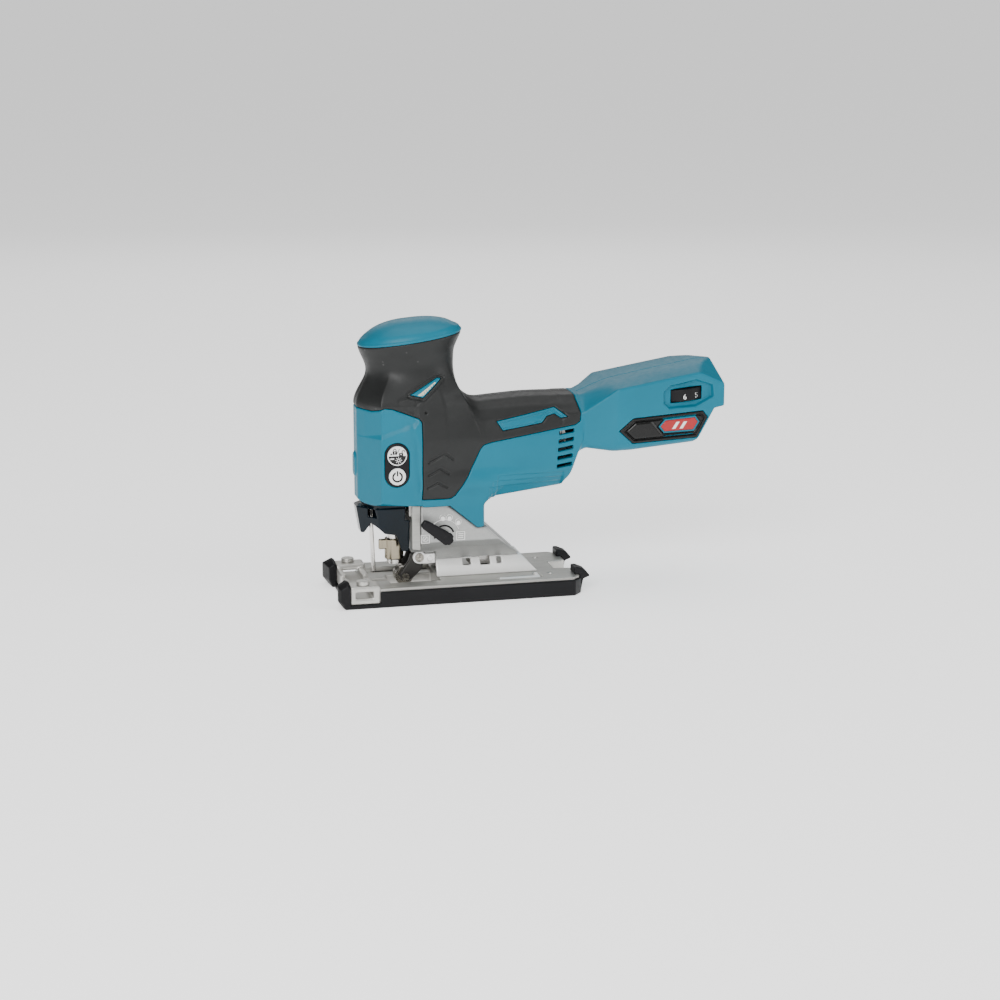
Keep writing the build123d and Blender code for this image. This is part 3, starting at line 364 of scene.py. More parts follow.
class Space:
    """A box of grid points with its three axes ready to broadcast."""

    def __init__(self, low, high, step):
        self.low, self.step = low, step
        axes = [np.arange(int((b - a) / step) + 2, dtype=np.float32) * step + a for a, b in zip(low, high)]
        self.x, self.y, self.z = np.ix_(*axes)

    def distance(self, field):
        """A field divided by its own slope, which makes it a distance near its surface."""
        slopes = np.gradient(field, self.step)
        return field / np.maximum(np.sqrt(sum(s * s for s in slopes)), 0.2)

    def points_and_faces(self, field, adaptivity=0.0):
        band = 3 * self.step
        whole = np.broadcast_to(field, (self.x.size, self.y.size, self.z.size))
        whole = np.clip(whole, -band, band).astype(np.float32)
        for axis in range(3):                  # closes whatever reaches the edge of the grid
            edge = np.moveaxis(whole, axis, 0)
            edge[0], edge[-1] = band, band
        grid = openvdb.FloatGrid(band)
        grid.copyFromArray(np.ascontiguousarray(whole), tolerance=1e-4)
        points, triangles, quads = grid.convertToPolygons(isovalue=0.0, adaptivity=adaptivity)
        return self.settled(points, whole) * self.step + np.array(self.low), triangles, quads

    def settled(self, points, field):
        """Grid points moved onto the field's zero surface, read from the eight corners of their cells."""
        for _ in range(2):
            cell = np.clip(np.floor(points), 0, np.array(field.shape) - 2).astype(int)
            part = points - cell
            value, slope = np.zeros(len(points)), np.zeros((len(points), 3))
            for corner in product((0, 1), repeat=3):
                here = field[tuple((cell + corner).T)]
                share = np.where(corner, part, 1 - part)
                value += here * share.prod(axis=1)
                for axis in range(3):
                    others = [a for a in range(3) if a != axis]
                    slope[:, axis] += here * (1 if corner[axis] else -1) * share[:, others].prod(axis=1)
            steep = np.maximum((slope ** 2).sum(axis=1), (0.3 * self.step) ** 2)
            move = -slope * (value / steep)[:, None]
            points = points + np.clip(move, -0.4, 0.4)
        return points


def object_from(name, points, faces, body, material, slot=None, replaces=()):
    """A mesh piece from millimetre points, riding on a body."""
    data = bpy.data.meshes.new(name)
    corners = [tuple(point) for point in np.asarray(points, float) * MM]
    data.from_pydata(corners, [], [tuple(map(int, face)) for face in faces])
    data.validate()
    mesh = bmesh.new()
    mesh.from_mesh(data)
    if mesh.calc_volume(signed=True) < 0:
        bmesh.ops.reverse_faces(mesh, faces=mesh.faces)
    for face in mesh.faces:
        face.smooth = True
    mesh.to_mesh(data)
    mesh.free()
    return place_piece(name, data, body, material, replaces)


def place_piece(name, data, body, material, replaces=()):
    data.materials.append(MATERIALS[material])
    piece = bpy.data.objects.new(name, data)
    bpy.context.scene.collection.objects.link(piece)
    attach(piece, body)
    if replaces:
        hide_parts(*replaces)
    return piece


def field_piece(name, space, field, body, material, mirror=False, **rest):
    """A piece from a distance field; mirror puts it on the other side of Y = 0."""
    points, triangles, quads = space.points_and_faces(field)
    if mirror:
        points = points * np.array([1, -1, 1])
    return object_from(name, points, [*triangles.tolist(), *quads.tolist()], body, material, **rest)


# ---- casing ----

RUBBER = [(-90, 141), (-67.7, 137.3), (-61.8, 136.9), (-54.4, 139.8), (-49.5, 139.1), (-30.8, 131.9),
          (-28.9, 129.3), (-28.9, 74.0), (-8.3, 74.0), (-5.4, 75.7), (3.5, 89.9), (12.6, 108.4),
          (15.2, 111.4), (20.4, 112.9), (81.5, 122.6), (85.2, 124.9), (85.9, 131.2), (84.6, 138.4),
          (86.0, 147.0), (88, 200), (-90, 200)]
STRIP = [(24.9, 127.1), (67.6, 134.9), (76.4, 128.4), (71.6, 127.5), (66.9, 130.6), (61.1, 129.1),
         (57.5, 124.9), (29.2, 120.5)]
ACCENT = [(-16.4, 159.1), (-13.2, 158.4), (-27.4, 146.0), (-36.4, 148.2)]
WEDGE = [(-18.4, 156.4), (-17.4, 155.9), (-27.6, 147.4), (-31.6, 147.9), (-29.2, 149.3)]
CHEVRONS = [[(-24.4, 101.1), (-12.7, 107.1), (-7.3, 102.8)], [(-24.5, 92.0), (-16.1, 96.3), (-10.3, 92.7)],
            [(-25.3, 82.9), (-18.0, 86.5), (-11.8, 82.5)]]
DIAL_RECESS = [(144.5, 135.8), (148.9, 131.9), (168.8, 132.9), (182.0, 139.6), (180.9, 148.4),
               (168.6, 152.6), (149.1, 148.7), (144.5, 144.6)]
DIAL_WINDOW = [(150.8, 144.4), (170.4, 146.2), (171.6, 138.0), (152.2, 135.5)]
INLAY = [(112.5, 117.5), (122.7, 126.0), (173.8, 129.5), (177.3, 125.0), (169.7, 110.8), (122.2, 108.4)]
BADGE = [(141.1, 119.6), (145.7, 124.8), (168.3, 126.3), (171.3, 122.0), (167.2, 115.5), (145.0, 114.9)]
CAPSULE = (-46.5, 84.0, 115.3, 17.3)    # middle X, low Z, high Z and width of the button panel
SCREW_PLACES = [(-18, 150), (-62, 128), (-62, 93), (12, 66), (84, 131), (116, 112.5), (121, 142)]
LOCK_BUTTON, POWER_BUTTON = (-46.5, 106.4, 6.9), (-46.5, 91.6, 6.0)      # X, Z and radius
DIAL_CENTRE, DIAL_RADIUS = (162.0, -18.0, 141.5), 18.0
NUMBER_CENTRE, NUMBER_RADIUS, NUMBER_LEAN = (161.8, -18.0, 140.2), 18.02, radians(-5.5)
STEM_HOLE = 2.5                         # radius of a button stem's way through the shell
LEVER_CENTRE = (-12.3, 46.3)            # X and Z of the selector lever's axis
ARM_CENTRE = (-28.2, 28.1)              # X and Z of the roller arm's pin
CASING_UNDERSIDE = [(-95, 200), (-95, 69.6), (-31, 69.6), (-28, 68.4), (-9.0, 68.4), (11.3, 51.2),
                    (18.9, 51.7), (300, 51.7), (300, 200)]
UNDER_POCKET = [(148, 88), (170.4, 109.2), (182.5, 131.2), (196, 134.0), (215, 88)]
WEB = [(-29, 40), (16.6, 40), (16.6, 68.0), (18.5, 72.5), (26, 80), (-29, 92)]
GRIP_CREASES = [[(-35.4, 148.1), (-41.5, 146.3), (-45.6, 144.2)],
                [(-28.2, 146.1), (-31.5, 142.9), (-33.8, 140.3)]]
COLUMN_SIDE, BLOCK_SIDE = 29.5, 36.0
RIM_HEIGHT, RIM_TILT = 184.8, 0.1317
HOUSING_SIDE = 24.0                     # Y of the gear housing's flat side
HOUSING_STRIP = [(-35.2, 37.0), (-29.4, 36.2), (-29.4, 68.6), (-35.2, 68.8)]
CAP_CROWN = [6.5, 13.0, 14.4, 14.0, 13.6, 13.0, 12.8, 12.6, 12.4, 8.0]    # heights along the cap
CAP_EDGE, CAP_POWER = 3.4, 2.6          # height of its steep edge, and how flat its crown is


def grown(points, margin):
    """An outline pushed outwards, or inwards if the margin is negative."""
    area = sum(a[0] * b[1] - b[0] * a[1] for a, b in zip(points, points[1:] + points[:1]))
    turn = 1 if area > 0 else -1
    out = []
    for k, here in enumerate(points):
        before, after = Vector(points[k - 1]), Vector(points[(k + 1) % len(points)])
        first, second = (Vector(here) - before).normalized(), (after - Vector(here)).normalized()
        normal = Vector((first.y + second.y, -first.x - second.x)) * turn
        reach = margin / max(normal.length_squared / 2, 0.25)
        out.append(tuple(Vector(here) + normal * reach))
    return out


def capsule_field(x, z, margin=0.0):
    middle, low, high, width = CAPSULE
    half = width / 2
    return np.hypot(x - middle, z - np.clip(z, low + half, high - half)) - half + margin


def column_field(space):
    """The grip column: a faceted box that turns into an ellipse at the waist and flares to the rim."""
    x, y, z = space.x, np.abs(space.y), space.z
    rise = z - (x + 31.5) * RIM_TILT * step_up(z, 138.0, 181.0)
    stations = [60, 137, 141, 145, 150, 156, 160, 164, 168, 173, 179, RIM_HEIGHT]
    middle = profile(rise, stations,
                     [-32, -32, -32, -32.4, -32.6, -32.2, -31.8, -31.6, -31.6, -32.2, -32, -31.5])
    length = profile(rise, stations, [39, 39, 39.1, 37.6, 35.3, 32.8, 31.4, 30.9, 31.0, 32.0, 34.6, 37.0])
    width = profile(rise, stations, [29.5, 29.5, 29.3, 28.2, 26.4, 24.2, 22.9, 22.2, 22.1, 22.8, 25.0, 27.2])
    u, v = (x - middle) / length, y / width
    facets = -u
    corner = [(-1.0, 0.237), (-0.654, 1.0), (0.513, 1.03), (0.923, 0.80), (0.96, 0.0)]
    for (ua, va), (ub, vb) in zip(corner, corner[1:]):
        nu, nv = vb - va, ua - ub
        offset = nu * ua + nv * va
        facets = smooth_max(facets, (nu * u + nv * v) / offset, 0.022)
    oval = (np.abs(u) ** 2.2 + v ** 2.2) ** (1 / 2.2)
    share = step_up(rise, 147.0, 168.0)
    field = ((1 - share) * facets + share * oval - 1) * 30
    field = space.distance(field)
    return smooth_max(field, rise - RIM_HEIGHT, 1.6), rise


def barrel_field(space):
    """The motor's casing: round on top, with creased lower sides, and a slanted rear end."""
    x, y, z = space.x, np.abs(space.y), space.z
    outline = [(0, 141.4), (12, 140.6), (21.5, 136.6), (28, 128.5), (30.8, 117), (31.2, 108), (31.2, 91),
               (29.2, 84.6), (21.5, 73.0), (12, 71.6), (-12, 71.6), (-21.5, 73.0), (-29.2, 84.6), (-31.2, 91),
               (-31.2, 108), (-30.8, 117), (-28, 128.5), (-21.5, 136.6), (-12, 140.6)]
    section = blurred(polygon(y, z, outline), 3.0)
    crown = profile(x, [-25, 12, 29, 51, 70, 88], [-2.4, -1.7, -0.4, 1.0, 0.8, 0.0], 5.0)
    field = section - crown * step_up(z, 112.0, 136.0)
    belly = profile(x, [-25, 19, 35, 54, 76], [4.4, 4.0, 2.2, 0.0, -2.6], 3.0)
    field = field - belly * step_up(-z, -96.0, -80.0)
    steps = (((24.5, 88.9), (73.6, 89.3)), ((21.0, 85.0), (73.6, 85.4)), ((19.0, 80.5), (73.6, 81.6)))
    for start, end in steps:
        edge = np.interp(x, [start[0], end[0]], [start[1], end[1]])
        inside = step_up(x, start[0], start[0] + 1.0) * step_up(-x, -end[0] - 0.5, -end[0] + 0.5)
        field = field + 0.8 * step_up(edge - z, -0.4, 0.4) * inside
    rear = profile(z, [70, 72, 79, 86, 95, 103, 112, 150], [72, 72.5, 74, 78.5, 81, 84, 87.2, 87.6], 1.5)
    field = smooth_max(field, (x - rear) * 0.93, 1.6)
    return smooth_max(field, -30.0 - x, 2.0)


def block_field(space):
    """The rear block: a tube from the motor that opens into a chamfered box."""
    x, y, z = space.x, np.abs(space.y), space.z
    places = [70, 88, 111, 171, 190]
    half = profile(x, places, [28.6, 29.3, 36.0, 36.0, 36.0], 1.0)
    low = profile(x, [70, 83, 90, 108, 121, 171, 190], [99.0, 101.0, 104.6, 102.4, 102.7, 107.0, 108.6], 1.0)
    shoulder = profile(x, [70, 88, 111, 171, 190], [130.0, 131.0, 147.6, 157.6, 157.6], 1.0)
    high = profile(x, [70, 90, 103, 112, 144, 179, 190],
                   [140.6, 141.0, 146.4, 149.6, 155.6, 161.4, 162.2], 1.2)
    flat = profile(x, places, [14, 14, 20, 20, 20], 1.0)
    slope = np.hypot(high - shoulder, half - flat)
    roof = ((high - shoulder) * (y - half) + (half - flat) * (z - shoulder)) / slope
    field = smooth_max(y - half, roof, 1.6)
    field = smooth_max(field, z - high, 1.6)
    field = smooth_max(field, low - z, 2.6)
    field = smooth_max(field, (y - half + low - z + 3.0) * 0.707, 2.0)
    rear_corner = ((x - 170.0) * 0.40 + (y - 36.0) * 0.32 + (z - 158.1) * 0.857)
    field = smooth_max(field, rear_corner, 1.4)
    field = smooth_max(field, x - 190.0, 1.8)
    return smooth_max(field, 74.0 - x, 1.0)


def seat_frame():
    """The battery seat: its middle, the way up it and the way out of it, in X and Z."""
    up = Vector((172.0 - 148.9, 137.0 - 95.0)).normalized()
    return Vector(((148.9 + 172.0) / 2, (95.0 + 137.0) / 2)), up, Vector((up.y, -up.x))


def pocket_field(space, half, behind):
    """The slanted battery pocket, open below and behind."""
    middle, up, out = seat_frame()
    x, z = space.x - middle.x, space.z - middle.y
    along, away = x * up.x + z * up.y, x * out.x + z * out.y
    field = smooth_max(np.abs(along + 4.0) - 28.0, -behind - away, 0.6)
    return smooth_max(smooth_max(field, away - 24.0, 0.6), np.abs(space.y) - half, 0.8)


def casing_fields(space):
    """The outer form, and the same form with its underside left open for the hollow inside."""
    x, y, z = space.x, np.abs(space.y), space.z
    column, rise = column_field(space)
    field = smooth_min(barrel_field(space), block_field(space), 2.2)
    web_side = blurred(polygon(x, z, WEB), 1.2)
    web = smooth_max(web_side, y - 27.2, 3.0)
    lower = smooth_min(column, web, 3.0)
    blend = profile(z, [60, 80, 120, 145, 160], [4.0, 6.0, 14.0, 15.0, 8.0], 4.0)
    field = smooth_min(field, lower, blend)

    # The front cover: a shallow facet that steps in above the panel, a boss and a cut lower corner.
    low_edge = np.interp(x, [-66.5, -55.8, -33.8, -30.8], [117.6, 118.0, 125.6, 130.2])
    high_edge = np.interp(x, [-66.5, -30.8], [118.2, 130.3])
    band = high_edge - low_edge
    inward = 0.30 * band * np.clip((z - low_edge) / np.maximum(band, 0.2), 0, 1)
    cover = step_up(-x, 28.9, 29.6) * step_up(y, 6.0, 9.0)
    field = field + inward * cover * step_up(-z, -141.0, -137.0)
    boss = smooth_max(np.hypot(y, z - np.clip(z, 92.0, 100.0)) - 4.6, np.abs(x + 69.5) - 3.0, 1.2)
    field = smooth_min(field, boss, 1.6)
    cut_corner = (-x - 58.0) * 0.15 + (y - 27.0) * 0.45 + (71.6 - z) * 0.88
    field = smooth_max(field, cut_corner - 9.0 * step_up(x, -38.0, -30.0), 0.8)
    front_edge = (-x - 70.8) * 0.50 + (71.6 - z) * 0.866
    field = smooth_max(field, front_edge, 1.0)
    shut = smooth_max(field, polygon(x, z, CASING_UNDERSIDE), 1.2)
    return shut, field, rise


def make_casing():
    space = Space((-76.0, -1.0, 47.0), (193.0, 39.0, 193.0), CASING_STEP)
    x, y, z = space.x, space.y, space.z
    outer, open_form, rise = casing_fields(space)
    outer = smooth_max(outer, -polygon(x, z, UNDER_POCKET), 0.8)
    outer = smooth_max(outer, -pocket_field(space, 30.0, 0.0), 0.6)
    open_form = np.maximum(open_form, -pocket_field(space, 27.0, 2.6))

    strip, accent = polygon(x, z, STRIP), polygon(x, z, ACCENT)
    region = blurred(polygon(x, z, RUBBER), 0.8)
    region = np.maximum(region, -np.minimum(strip, accent))
    soft_skin = outer
    for line in CHEVRONS:
        reach = polyline(x, z, line)
        below = step_up(reach, 0.0, 2.4)
        under = np.interp(x, [p[0] for p in line], [p[1] for p in line]) - z
        soft_skin = soft_skin + 1.0 * (1 - step_up(reach, 0.45, 1.3)) - 0.55 * (1 - below) * (under < 0)
    for line in GRIP_CREASES:
        reach = polyline(x, z, line)
        start = Vector(line[0])
        fade = 1 - np.clip(np.hypot(x - start.x, z - start.y) / (Vector(line[-1]) - start).length, 0, 1)
        soft_skin = soft_skin + 1.0 * fade * (1 - step_up(reach, 0.3, 1.5))
    pinhole = np.hypot(x + 26.0, z - 136.0)
    soft_skin = soft_skin + 1.6 * (1 - step_up(pinhole, 0.5, 1.1))
    outline_groove = np.abs(strip + 1.5)
    hard_skin = outer + 0.7 * (1 - step_up(outline_groove, 0.2, 0.8)) * (strip < 0)
    frame_line = np.abs(accent - 1.6)
    soft_skin = soft_skin + 0.9 * (1 - step_up(frame_line, 0.3, 1.2)) * (accent > 0) * (accent < 4)
    seam = np.abs(x + 28.9)
    hard_skin = hard_skin + 0.5 * (1 - step_up(seam, 0.15, 0.8)) * (z < 75.0)

    vents = np.float32(1e3)
    for k in range(5):
        low, front = 115.6 - 5.95 * k, 69.7 - 0.42 * k
        slot = polygon(x, z, [(front, low), (front + 11.0, low + 1.8), (front + 11.0, low + 4.6),
                              (front, low + 2.8)])
        vents = np.minimum(vents, slot)
    vents = np.maximum(vents, 18.0 - y)
    skin = smooth_max(soft_skin, region + 0.16, 0.9)
    skin = np.maximum(skin, -(outer + GRIP_DEPTH))
    skin = smooth_max(skin, 0.03 - y, 0.6)
    skin = smooth_max(skin, rise - RIM_HEIGHT + 0.3, 0.4)
    shell = np.minimum(smooth_max(hard_skin, 0.16 - region, 0.9), outer + GRIP_DEPTH + 0.1)
    shell = np.maximum(shell, -(open_form + WALL))
    shell = smooth_max(shell, -vents, 0.5)
    shell = smooth_max(shell, -np.maximum(capsule_field(x, z, -0.15), COLUMN_SIDE - 1.5 - y), 0.5)
    inset = np.maximum(polygon(x, z, grown(INLAY, 0.35)), BLOCK_SIDE - 1.7 - y)
    shell = smooth_max(shell, -inset, 0.5)
    shell = smooth_max(shell, 0.03 - y, 0.6)
    shell = np.maximum(shell, rise - RIM_HEIGHT + 1.0)
    shell = np.maximum(shell, -np.maximum(np.maximum(x + 1.8, -x - 54.3), np.maximum(y - 22.8, z - 121.3)))
    for px, pz, _ in (LOCK_BUTTON, POWER_BUTTON):
        shell = np.maximum(shell, -np.maximum(np.hypot(x - px, z - pz) - STEM_HOLE, 20.0 - y))

    recess_side = polygon(x, z, DIAL_RECESS)
    recess = np.maximum(recess_side - (y - BLOCK_SIDE) * 0.35, BLOCK_SIDE - 3.2 - y)
    window = np.maximum(polygon(x, z, DIAL_WINDOW), 18.0 - y)
    left = smooth_max(smooth_max(shell, -recess, 0.6), -window, 0.4)
    dial_x, dial_y, dial_z = DIAL_CENTRE
    wheel = np.hypot(x - dial_x, y + dial_y) - DIAL_RADIUS - 0.5
    left = np.maximum(left, -np.maximum(wheel, np.abs(z - dial_z - (x - dial_x) * 0.096) - 4.9))
    field_piece("housing_shell_left", space, left, "tool_body", "teal_plastic", mirror=True,
                replaces=["housing_left"])
    del left, recess, window, wheel, recess_side
    holes = np.float32(1e3)
    for sx, sz in SCREW_PLACES:
        holes = np.minimum(holes, np.maximum(np.hypot(x - sx, z - sz) - 3.4, 16.2 - y))
    field_piece("housing_shell_right", space, smooth_max(shell, -holes, 0.5), "tool_body", "teal_plastic",
                replaces=["housing_right"])
    del shell
    field_piece("grip_skin_left", space, skin, "tool_body", "grip_rubber", mirror=True,
                replaces=["grip_left"])
    field_piece("grip_skin_right", space, smooth_max(skin, -holes, 0.5), "tool_body", "grip_rubber",
                replaces=["grip_right"])


# ---- pieces that start from a CAD node ----

def cad_mesh(node):
    """A CAD node's points in millimetres and its triangles, with doubled points merged."""
    mesh = bmesh.new()
    mesh.from_mesh(frame["nodes"][node].data)
    bmesh.ops.remove_doubles(mesh, verts=mesh.verts, dist=1e-6)
    bmesh.ops.triangulate(mesh, faces=mesh.faces)
    points = np.array([v.co for v in mesh.verts], float) / MM
    mesh.verts.index_update()
    faces = np.array([[v.index for v in f.verts] for f in mesh.faces], np.uint32)
    mesh.free()
    return points, faces


def softened(node, radius, step):
    """A CAD node with every outer edge rounded to a radius."""
    points, triangles = cad_mesh(node)
    transform = openvdb.createLinearTransform(step)
    quads = None
    for offset in (-radius, radius, None):
        reach = 3.0 if offset is None else abs(offset) / step + 3.0
        grid = openvdb.FloatGrid.createLevelSetFromPolygons(
            np.ascontiguousarray(points, np.float32), triangles=triangles, quads=quads, transform=transform,
            halfWidth=reach)
        points, triangles, quads = grid.convertToPolygons(isovalue=offset or 0.0, adaptivity=0.0)
    return points, [*triangles.tolist(), *quads.tolist()]


def soft_node(node, body, material, radius=0.5, step=0.35, warp=None, paint=None):
    points, faces = softened(node, radius, step)
    if warp:
        points = warp(points)
    piece = object_from(node + "_form", points, faces, body, material, replaces=[node])
    if paint:
        paint_faces(piece, *paint)
    return piece


def paint_faces(piece, material, chosen):
    """Gives a second material to the faces that a test picks by their middle and normal."""
    piece.data.materials.append(MATERIALS[material])
    count = len(piece.data.polygons)
    middles, normals = np.empty(count * 3), np.empty(count * 3)
    piece.data.polygons.foreach_get("center", middles)
    piece.data.polygons.foreach_get("normal", normals)
    picked = chosen(middles.reshape(-1, 3) / MM, normals.reshape(-1, 3))
    piece.data.polygons.foreach_set("material_index", picked.astype(np.int32))


def relief(name, flat, window, face, height, step, body, material, side=-1, sunk=0.4, rounding=0.12,
           replaces=(), slot=None):
    """A raised shape on a side face, whose outline is flat(x, z) and whose distance from Y = 0 is face."""
    (x0, x1), (z0, z1) = window
    space = Space((x0, face - sunk - 2 * step, z0), (x1, face + height + 2 * step, z1), step)
    middle, half = face + (height - sunk) / 2, (height + sunk) / 2
    field = smooth_max(flat(space.x, space.z), np.abs(space.y - middle) - half, rounding)
    return field_piece(name, space, field, body, material, mirror=side < 0, replaces=replaces, slot=slot)


# ---- cap ----

def make_cap():
    """A high crowned cap: a broad top over a short steep edge, with a crease between them."""
    space = Space((-72.0, -31.0, 174.0), (9.0, 31.0, 201.0), 0.4)
    x, y, z = space.x, np.abs(space.y), space.z
    rise = z - (x + 31.5) * RIM_TILT - RIM_HEIGHT
    oval = (np.abs((x + 31.5) / 36.7) ** 2.15 + (y / 26.9) ** 2.15) ** (1 / 2.15)
    crown = profile(x, [-67, -62, -56, -48, -40, -30, -20, -10, -3, 3], CAP_CROWN, 2.0)
    top = rise - CAP_EDGE - (crown - CAP_EDGE) * (1 - np.minimum(oval, 1) ** CAP_POWER)
    side = rise - (1 - oval) * 62.0 - 0.7
    field = smooth_max(space.distance(top), space.distance(side), 0.9)
    lip = np.hypot((oval - 0.985) * 30, rise - 0.8) - 0.85
    field = smooth_min(field, lip, 0.4)
    field = smooth_max(field, (oval - 1.005) * 30, 0.5)
    field = smooth_max(field, -0.1 - rise, 0.4)
    field_piece("cap_dome", space, field, "tool_body", "teal_plastic", replaces=["top_cap"])


# ---- buttons, panels, inlays and dial ----

def ring_field(x, z, cx, cz, radius, width):
    return np.abs(np.hypot(x - cx, z - cz) - radius) - width / 2


def box_field(x, z, cx, cz, half_x, half_z):
    return np.maximum(np.abs(x - cx) - half_x, np.abs(z - cz) - half_z)


def power_icon(x, z):
    cx, cz = POWER_BUTTON[:2]
    gap = np.maximum(np.abs(x - cx) - 1.15, cz - z)
    circle = np.maximum(ring_field(x, z, cx, cz - 0.2, 3.2, 1.3), -gap)
    return np.minimum(circle, box_field(x, z, cx, cz + 2.3, 0.55, 1.9))


def padlock(x, z, cx, cz, opened):
    body = box_field(x, z, cx, cz - 0.9, 1.5, 1.2)
    hook_x = cx + (1.75 if opened else 0.0)
    hook = np.maximum(ring_field(x, z, hook_x, cz + 0.9, 0.95, 0.6), cz + 0.7 - z)
    legs = [(hook_x - 0.95, cz + 0.4), (hook_x + 0.95, cz + (0.75 if opened else 0.4))]
    for lx, lz in legs:
        hook = np.minimum(hook, box_field(x, z, lx, lz, 0.3, 0.5 if lz < cz + 0.7 else 0.2))
    hole = np.hypot(x - cx, z - cz + 0.8) - 0.38
    return np.minimum(np.maximum(body, -hole), hook)


def lock_icons(x, z):
    cx, cz = LOCK_BUTTON[:2]
    shut = padlock(x, z, cx - 1.8, cz + 3.2, False)
    opened = padlock(x, z, cx + 2.6, cz + 1.9, True)
    slash = polyline(x, z, [(cx - 0.7, cz + 1.0), (cx + 1.6, cz + 5.0)]) - 0.24
    dot = np.hypot(x - cx + 4.3, z - cz - 1.4) - 0.7
    return np.minimum(np.minimum(shut, opened), np.minimum(slash, dot))


def lamp_icons(x, z):
    """The white bar and the lamp sign on the button's dark lower half."""
    cx, cz = LOCK_BUTTON[:2]
    sun_x, sun_z = cx + 0.9, cz - 3.0
    sun = ring_field(x, z, sun_x, sun_z, 0.9, 0.45)
    for k in range(8):
        turn = k * pi / 4
        ray = [(sun_x + r * cos(turn), sun_z + r * sin(turn)) for r in (1.55, 2.2)]
        sun = np.minimum(sun, polyline(x, z, ray) - 0.2)
    return np.minimum(sun, box_field(x, z, cx - 3.6, cz - 1.9, 1.25, 0.5))


def make_buttons():
    for side, word in ((-1, "left"), (1, "right")):
        face = COLUMN_SIDE + 0.35
        window = ((-56.0, -37.0), (83.0, 116.5))
        holes = [(*LOCK_BUTTON[:2], LOCK_BUTTON[2] + 0.25), (*POWER_BUTTON[:2], POWER_BUTTON[2] + 0.25)]

        def panel(x, z):
            field = capsule_field(x, z, 0.15)
            for cx, cz, radius in holes:
                field = smooth_max(field, radius - np.hypot(x - cx, z - cz), 0.3)
            return field
        relief("panel_" + word, panel, window, face, 0.0, 0.25, "tool_body", "black_plastic", side, 1.7, 0.5,
               replaces=["switch_panel_" + word])
        for node, (cx, cz, radius) in (("lock", LOCK_BUTTON), ("power", POWER_BUTTON)):
            near = ((cx - 8, cx + 8), (cz - 8, cz + 8))
            relief(f"{node}_face_{word}", lambda x, z: np.hypot(x - cx, z - cz) - radius, near,
                   COLUMN_SIDE + 1.0, 0.0, 0.2, f"{node}_{word}", "white_print", side, 1.4, 0.5,
                   replaces=[f"{node}_button_{word}"])
        cx, cz, radius = LOCK_BUTTON
        near, top = ((cx - 8, cx + 8), (cz - 8, cz + 8)), COLUMN_SIDE + 0.97
        relief("lock_half_" + word, lambda x, z: np.maximum(np.hypot(x - cx, z - cz) - radius + 0.75, z - cz),
               near, top, 0.06, 0.1, "lock_" + word, "gloss_black", side, 0.2, 0.03, slot="black_plastic")
        relief("lock_marks_" + word, lock_icons, near, top, 0.07, 0.08, "lock_" + word, "gloss_black", side,
               0.2, 0.02, slot="black_plastic")
        relief("lamp_marks_" + word, lamp_icons, near, top + 0.04, 0.07, 0.08, "lock_" + word, "white_print",
               side, 0.2, 0.02)
        cx, cz, radius = POWER_BUTTON
        relief("power_mark_" + word, power_icon, ((cx - 8, cx + 8), (cz - 8, cz + 8)), top, 0.07, 0.08,
               "power_" + word, "gloss_black", side, 0.2, 0.02, slot="black_plastic")


def make_inlays():
    """A black frame round a ridged panel, with a plain red badge that carries two slanted bars."""
    for side, word in ((-1, "left"), (1, "right")):
        space = Space((110.0, 33.5, 106.0), (180.0, 38.5, 132.0), 0.3)
        x, y, z = space.x, space.y, space.z
        outline = polygon(x, z, INLAY)
        inner = polygon(x, z, grown(INLAY, -2.2))
        ridge = (x - 133.4) * 0.76 + (z - 123.7) * 0.65
        height = 0.5 + 0.9 * np.clip(-inner / 2.0, 0, 1) * (1 - step_up(ridge, 0.0, 3.0))
        groove = 1.1 * (1 - step_up(np.abs(inner + 0.2), 0.25, 0.9))
        pad = polygon(x, z, grown(BADGE, 0.9))
        height = height - groove - 0.7 * (1 - step_up(pad, -0.3, 0.5)) * (ridge > 0)
        slit = polyline(x, z, [(144.5, 112.6), (166.8, 113.6)])
        height = height - 0.7 * (1 - step_up(slit, 0.2, 0.8))
        field = smooth_max(outline, y - BLOCK_SIDE - height + 0.5, 0.6)
        field = np.maximum(field, BLOCK_SIDE - 1.6 - y)
        field_piece("inlay_" + word, space, field, "tool_body", "gloss_black", mirror=side < 0,
                    slot="black_plastic", replaces=["side_inlay_" + word])
        window = ((139.0, 174.0), (112.0, 129.0))
        relief("badge_rim_" + word,
               lambda x, z: np.maximum(polygon(x, z, BADGE), -polygon(x, z, grown(BADGE, -1.0))),
               window, BLOCK_SIDE - 0.8, 0.9, 0.2, "tool_body", "teal_plastic", side, 0.4, 0.25)
        relief("badge_" + word, lambda x, z: polygon(x, z, grown(BADGE, -1.15)), window,
               BLOCK_SIDE - 0.8, 0.75, 0.2, "tool_body", "red_badge", side, 0.4, 0.25, slot="white_print")
        bars = [[(151.0 + 5.5 * k, 117.5), (153.4 + 5.5 * k, 117.6), (156.6 + 5.5 * k, 122.6),
                 (154.2 + 5.5 * k, 122.5)] for k in range(2)]
        relief("badge_bars_" + word,
               lambda x, z: np.minimum(polygon(x, z, bars[0]), polygon(x, z, bars[1])),
               window, BLOCK_SIDE - 0.05, 0.08, 0.12, "tool_body", "white_print", side, 0.2, 0.03)


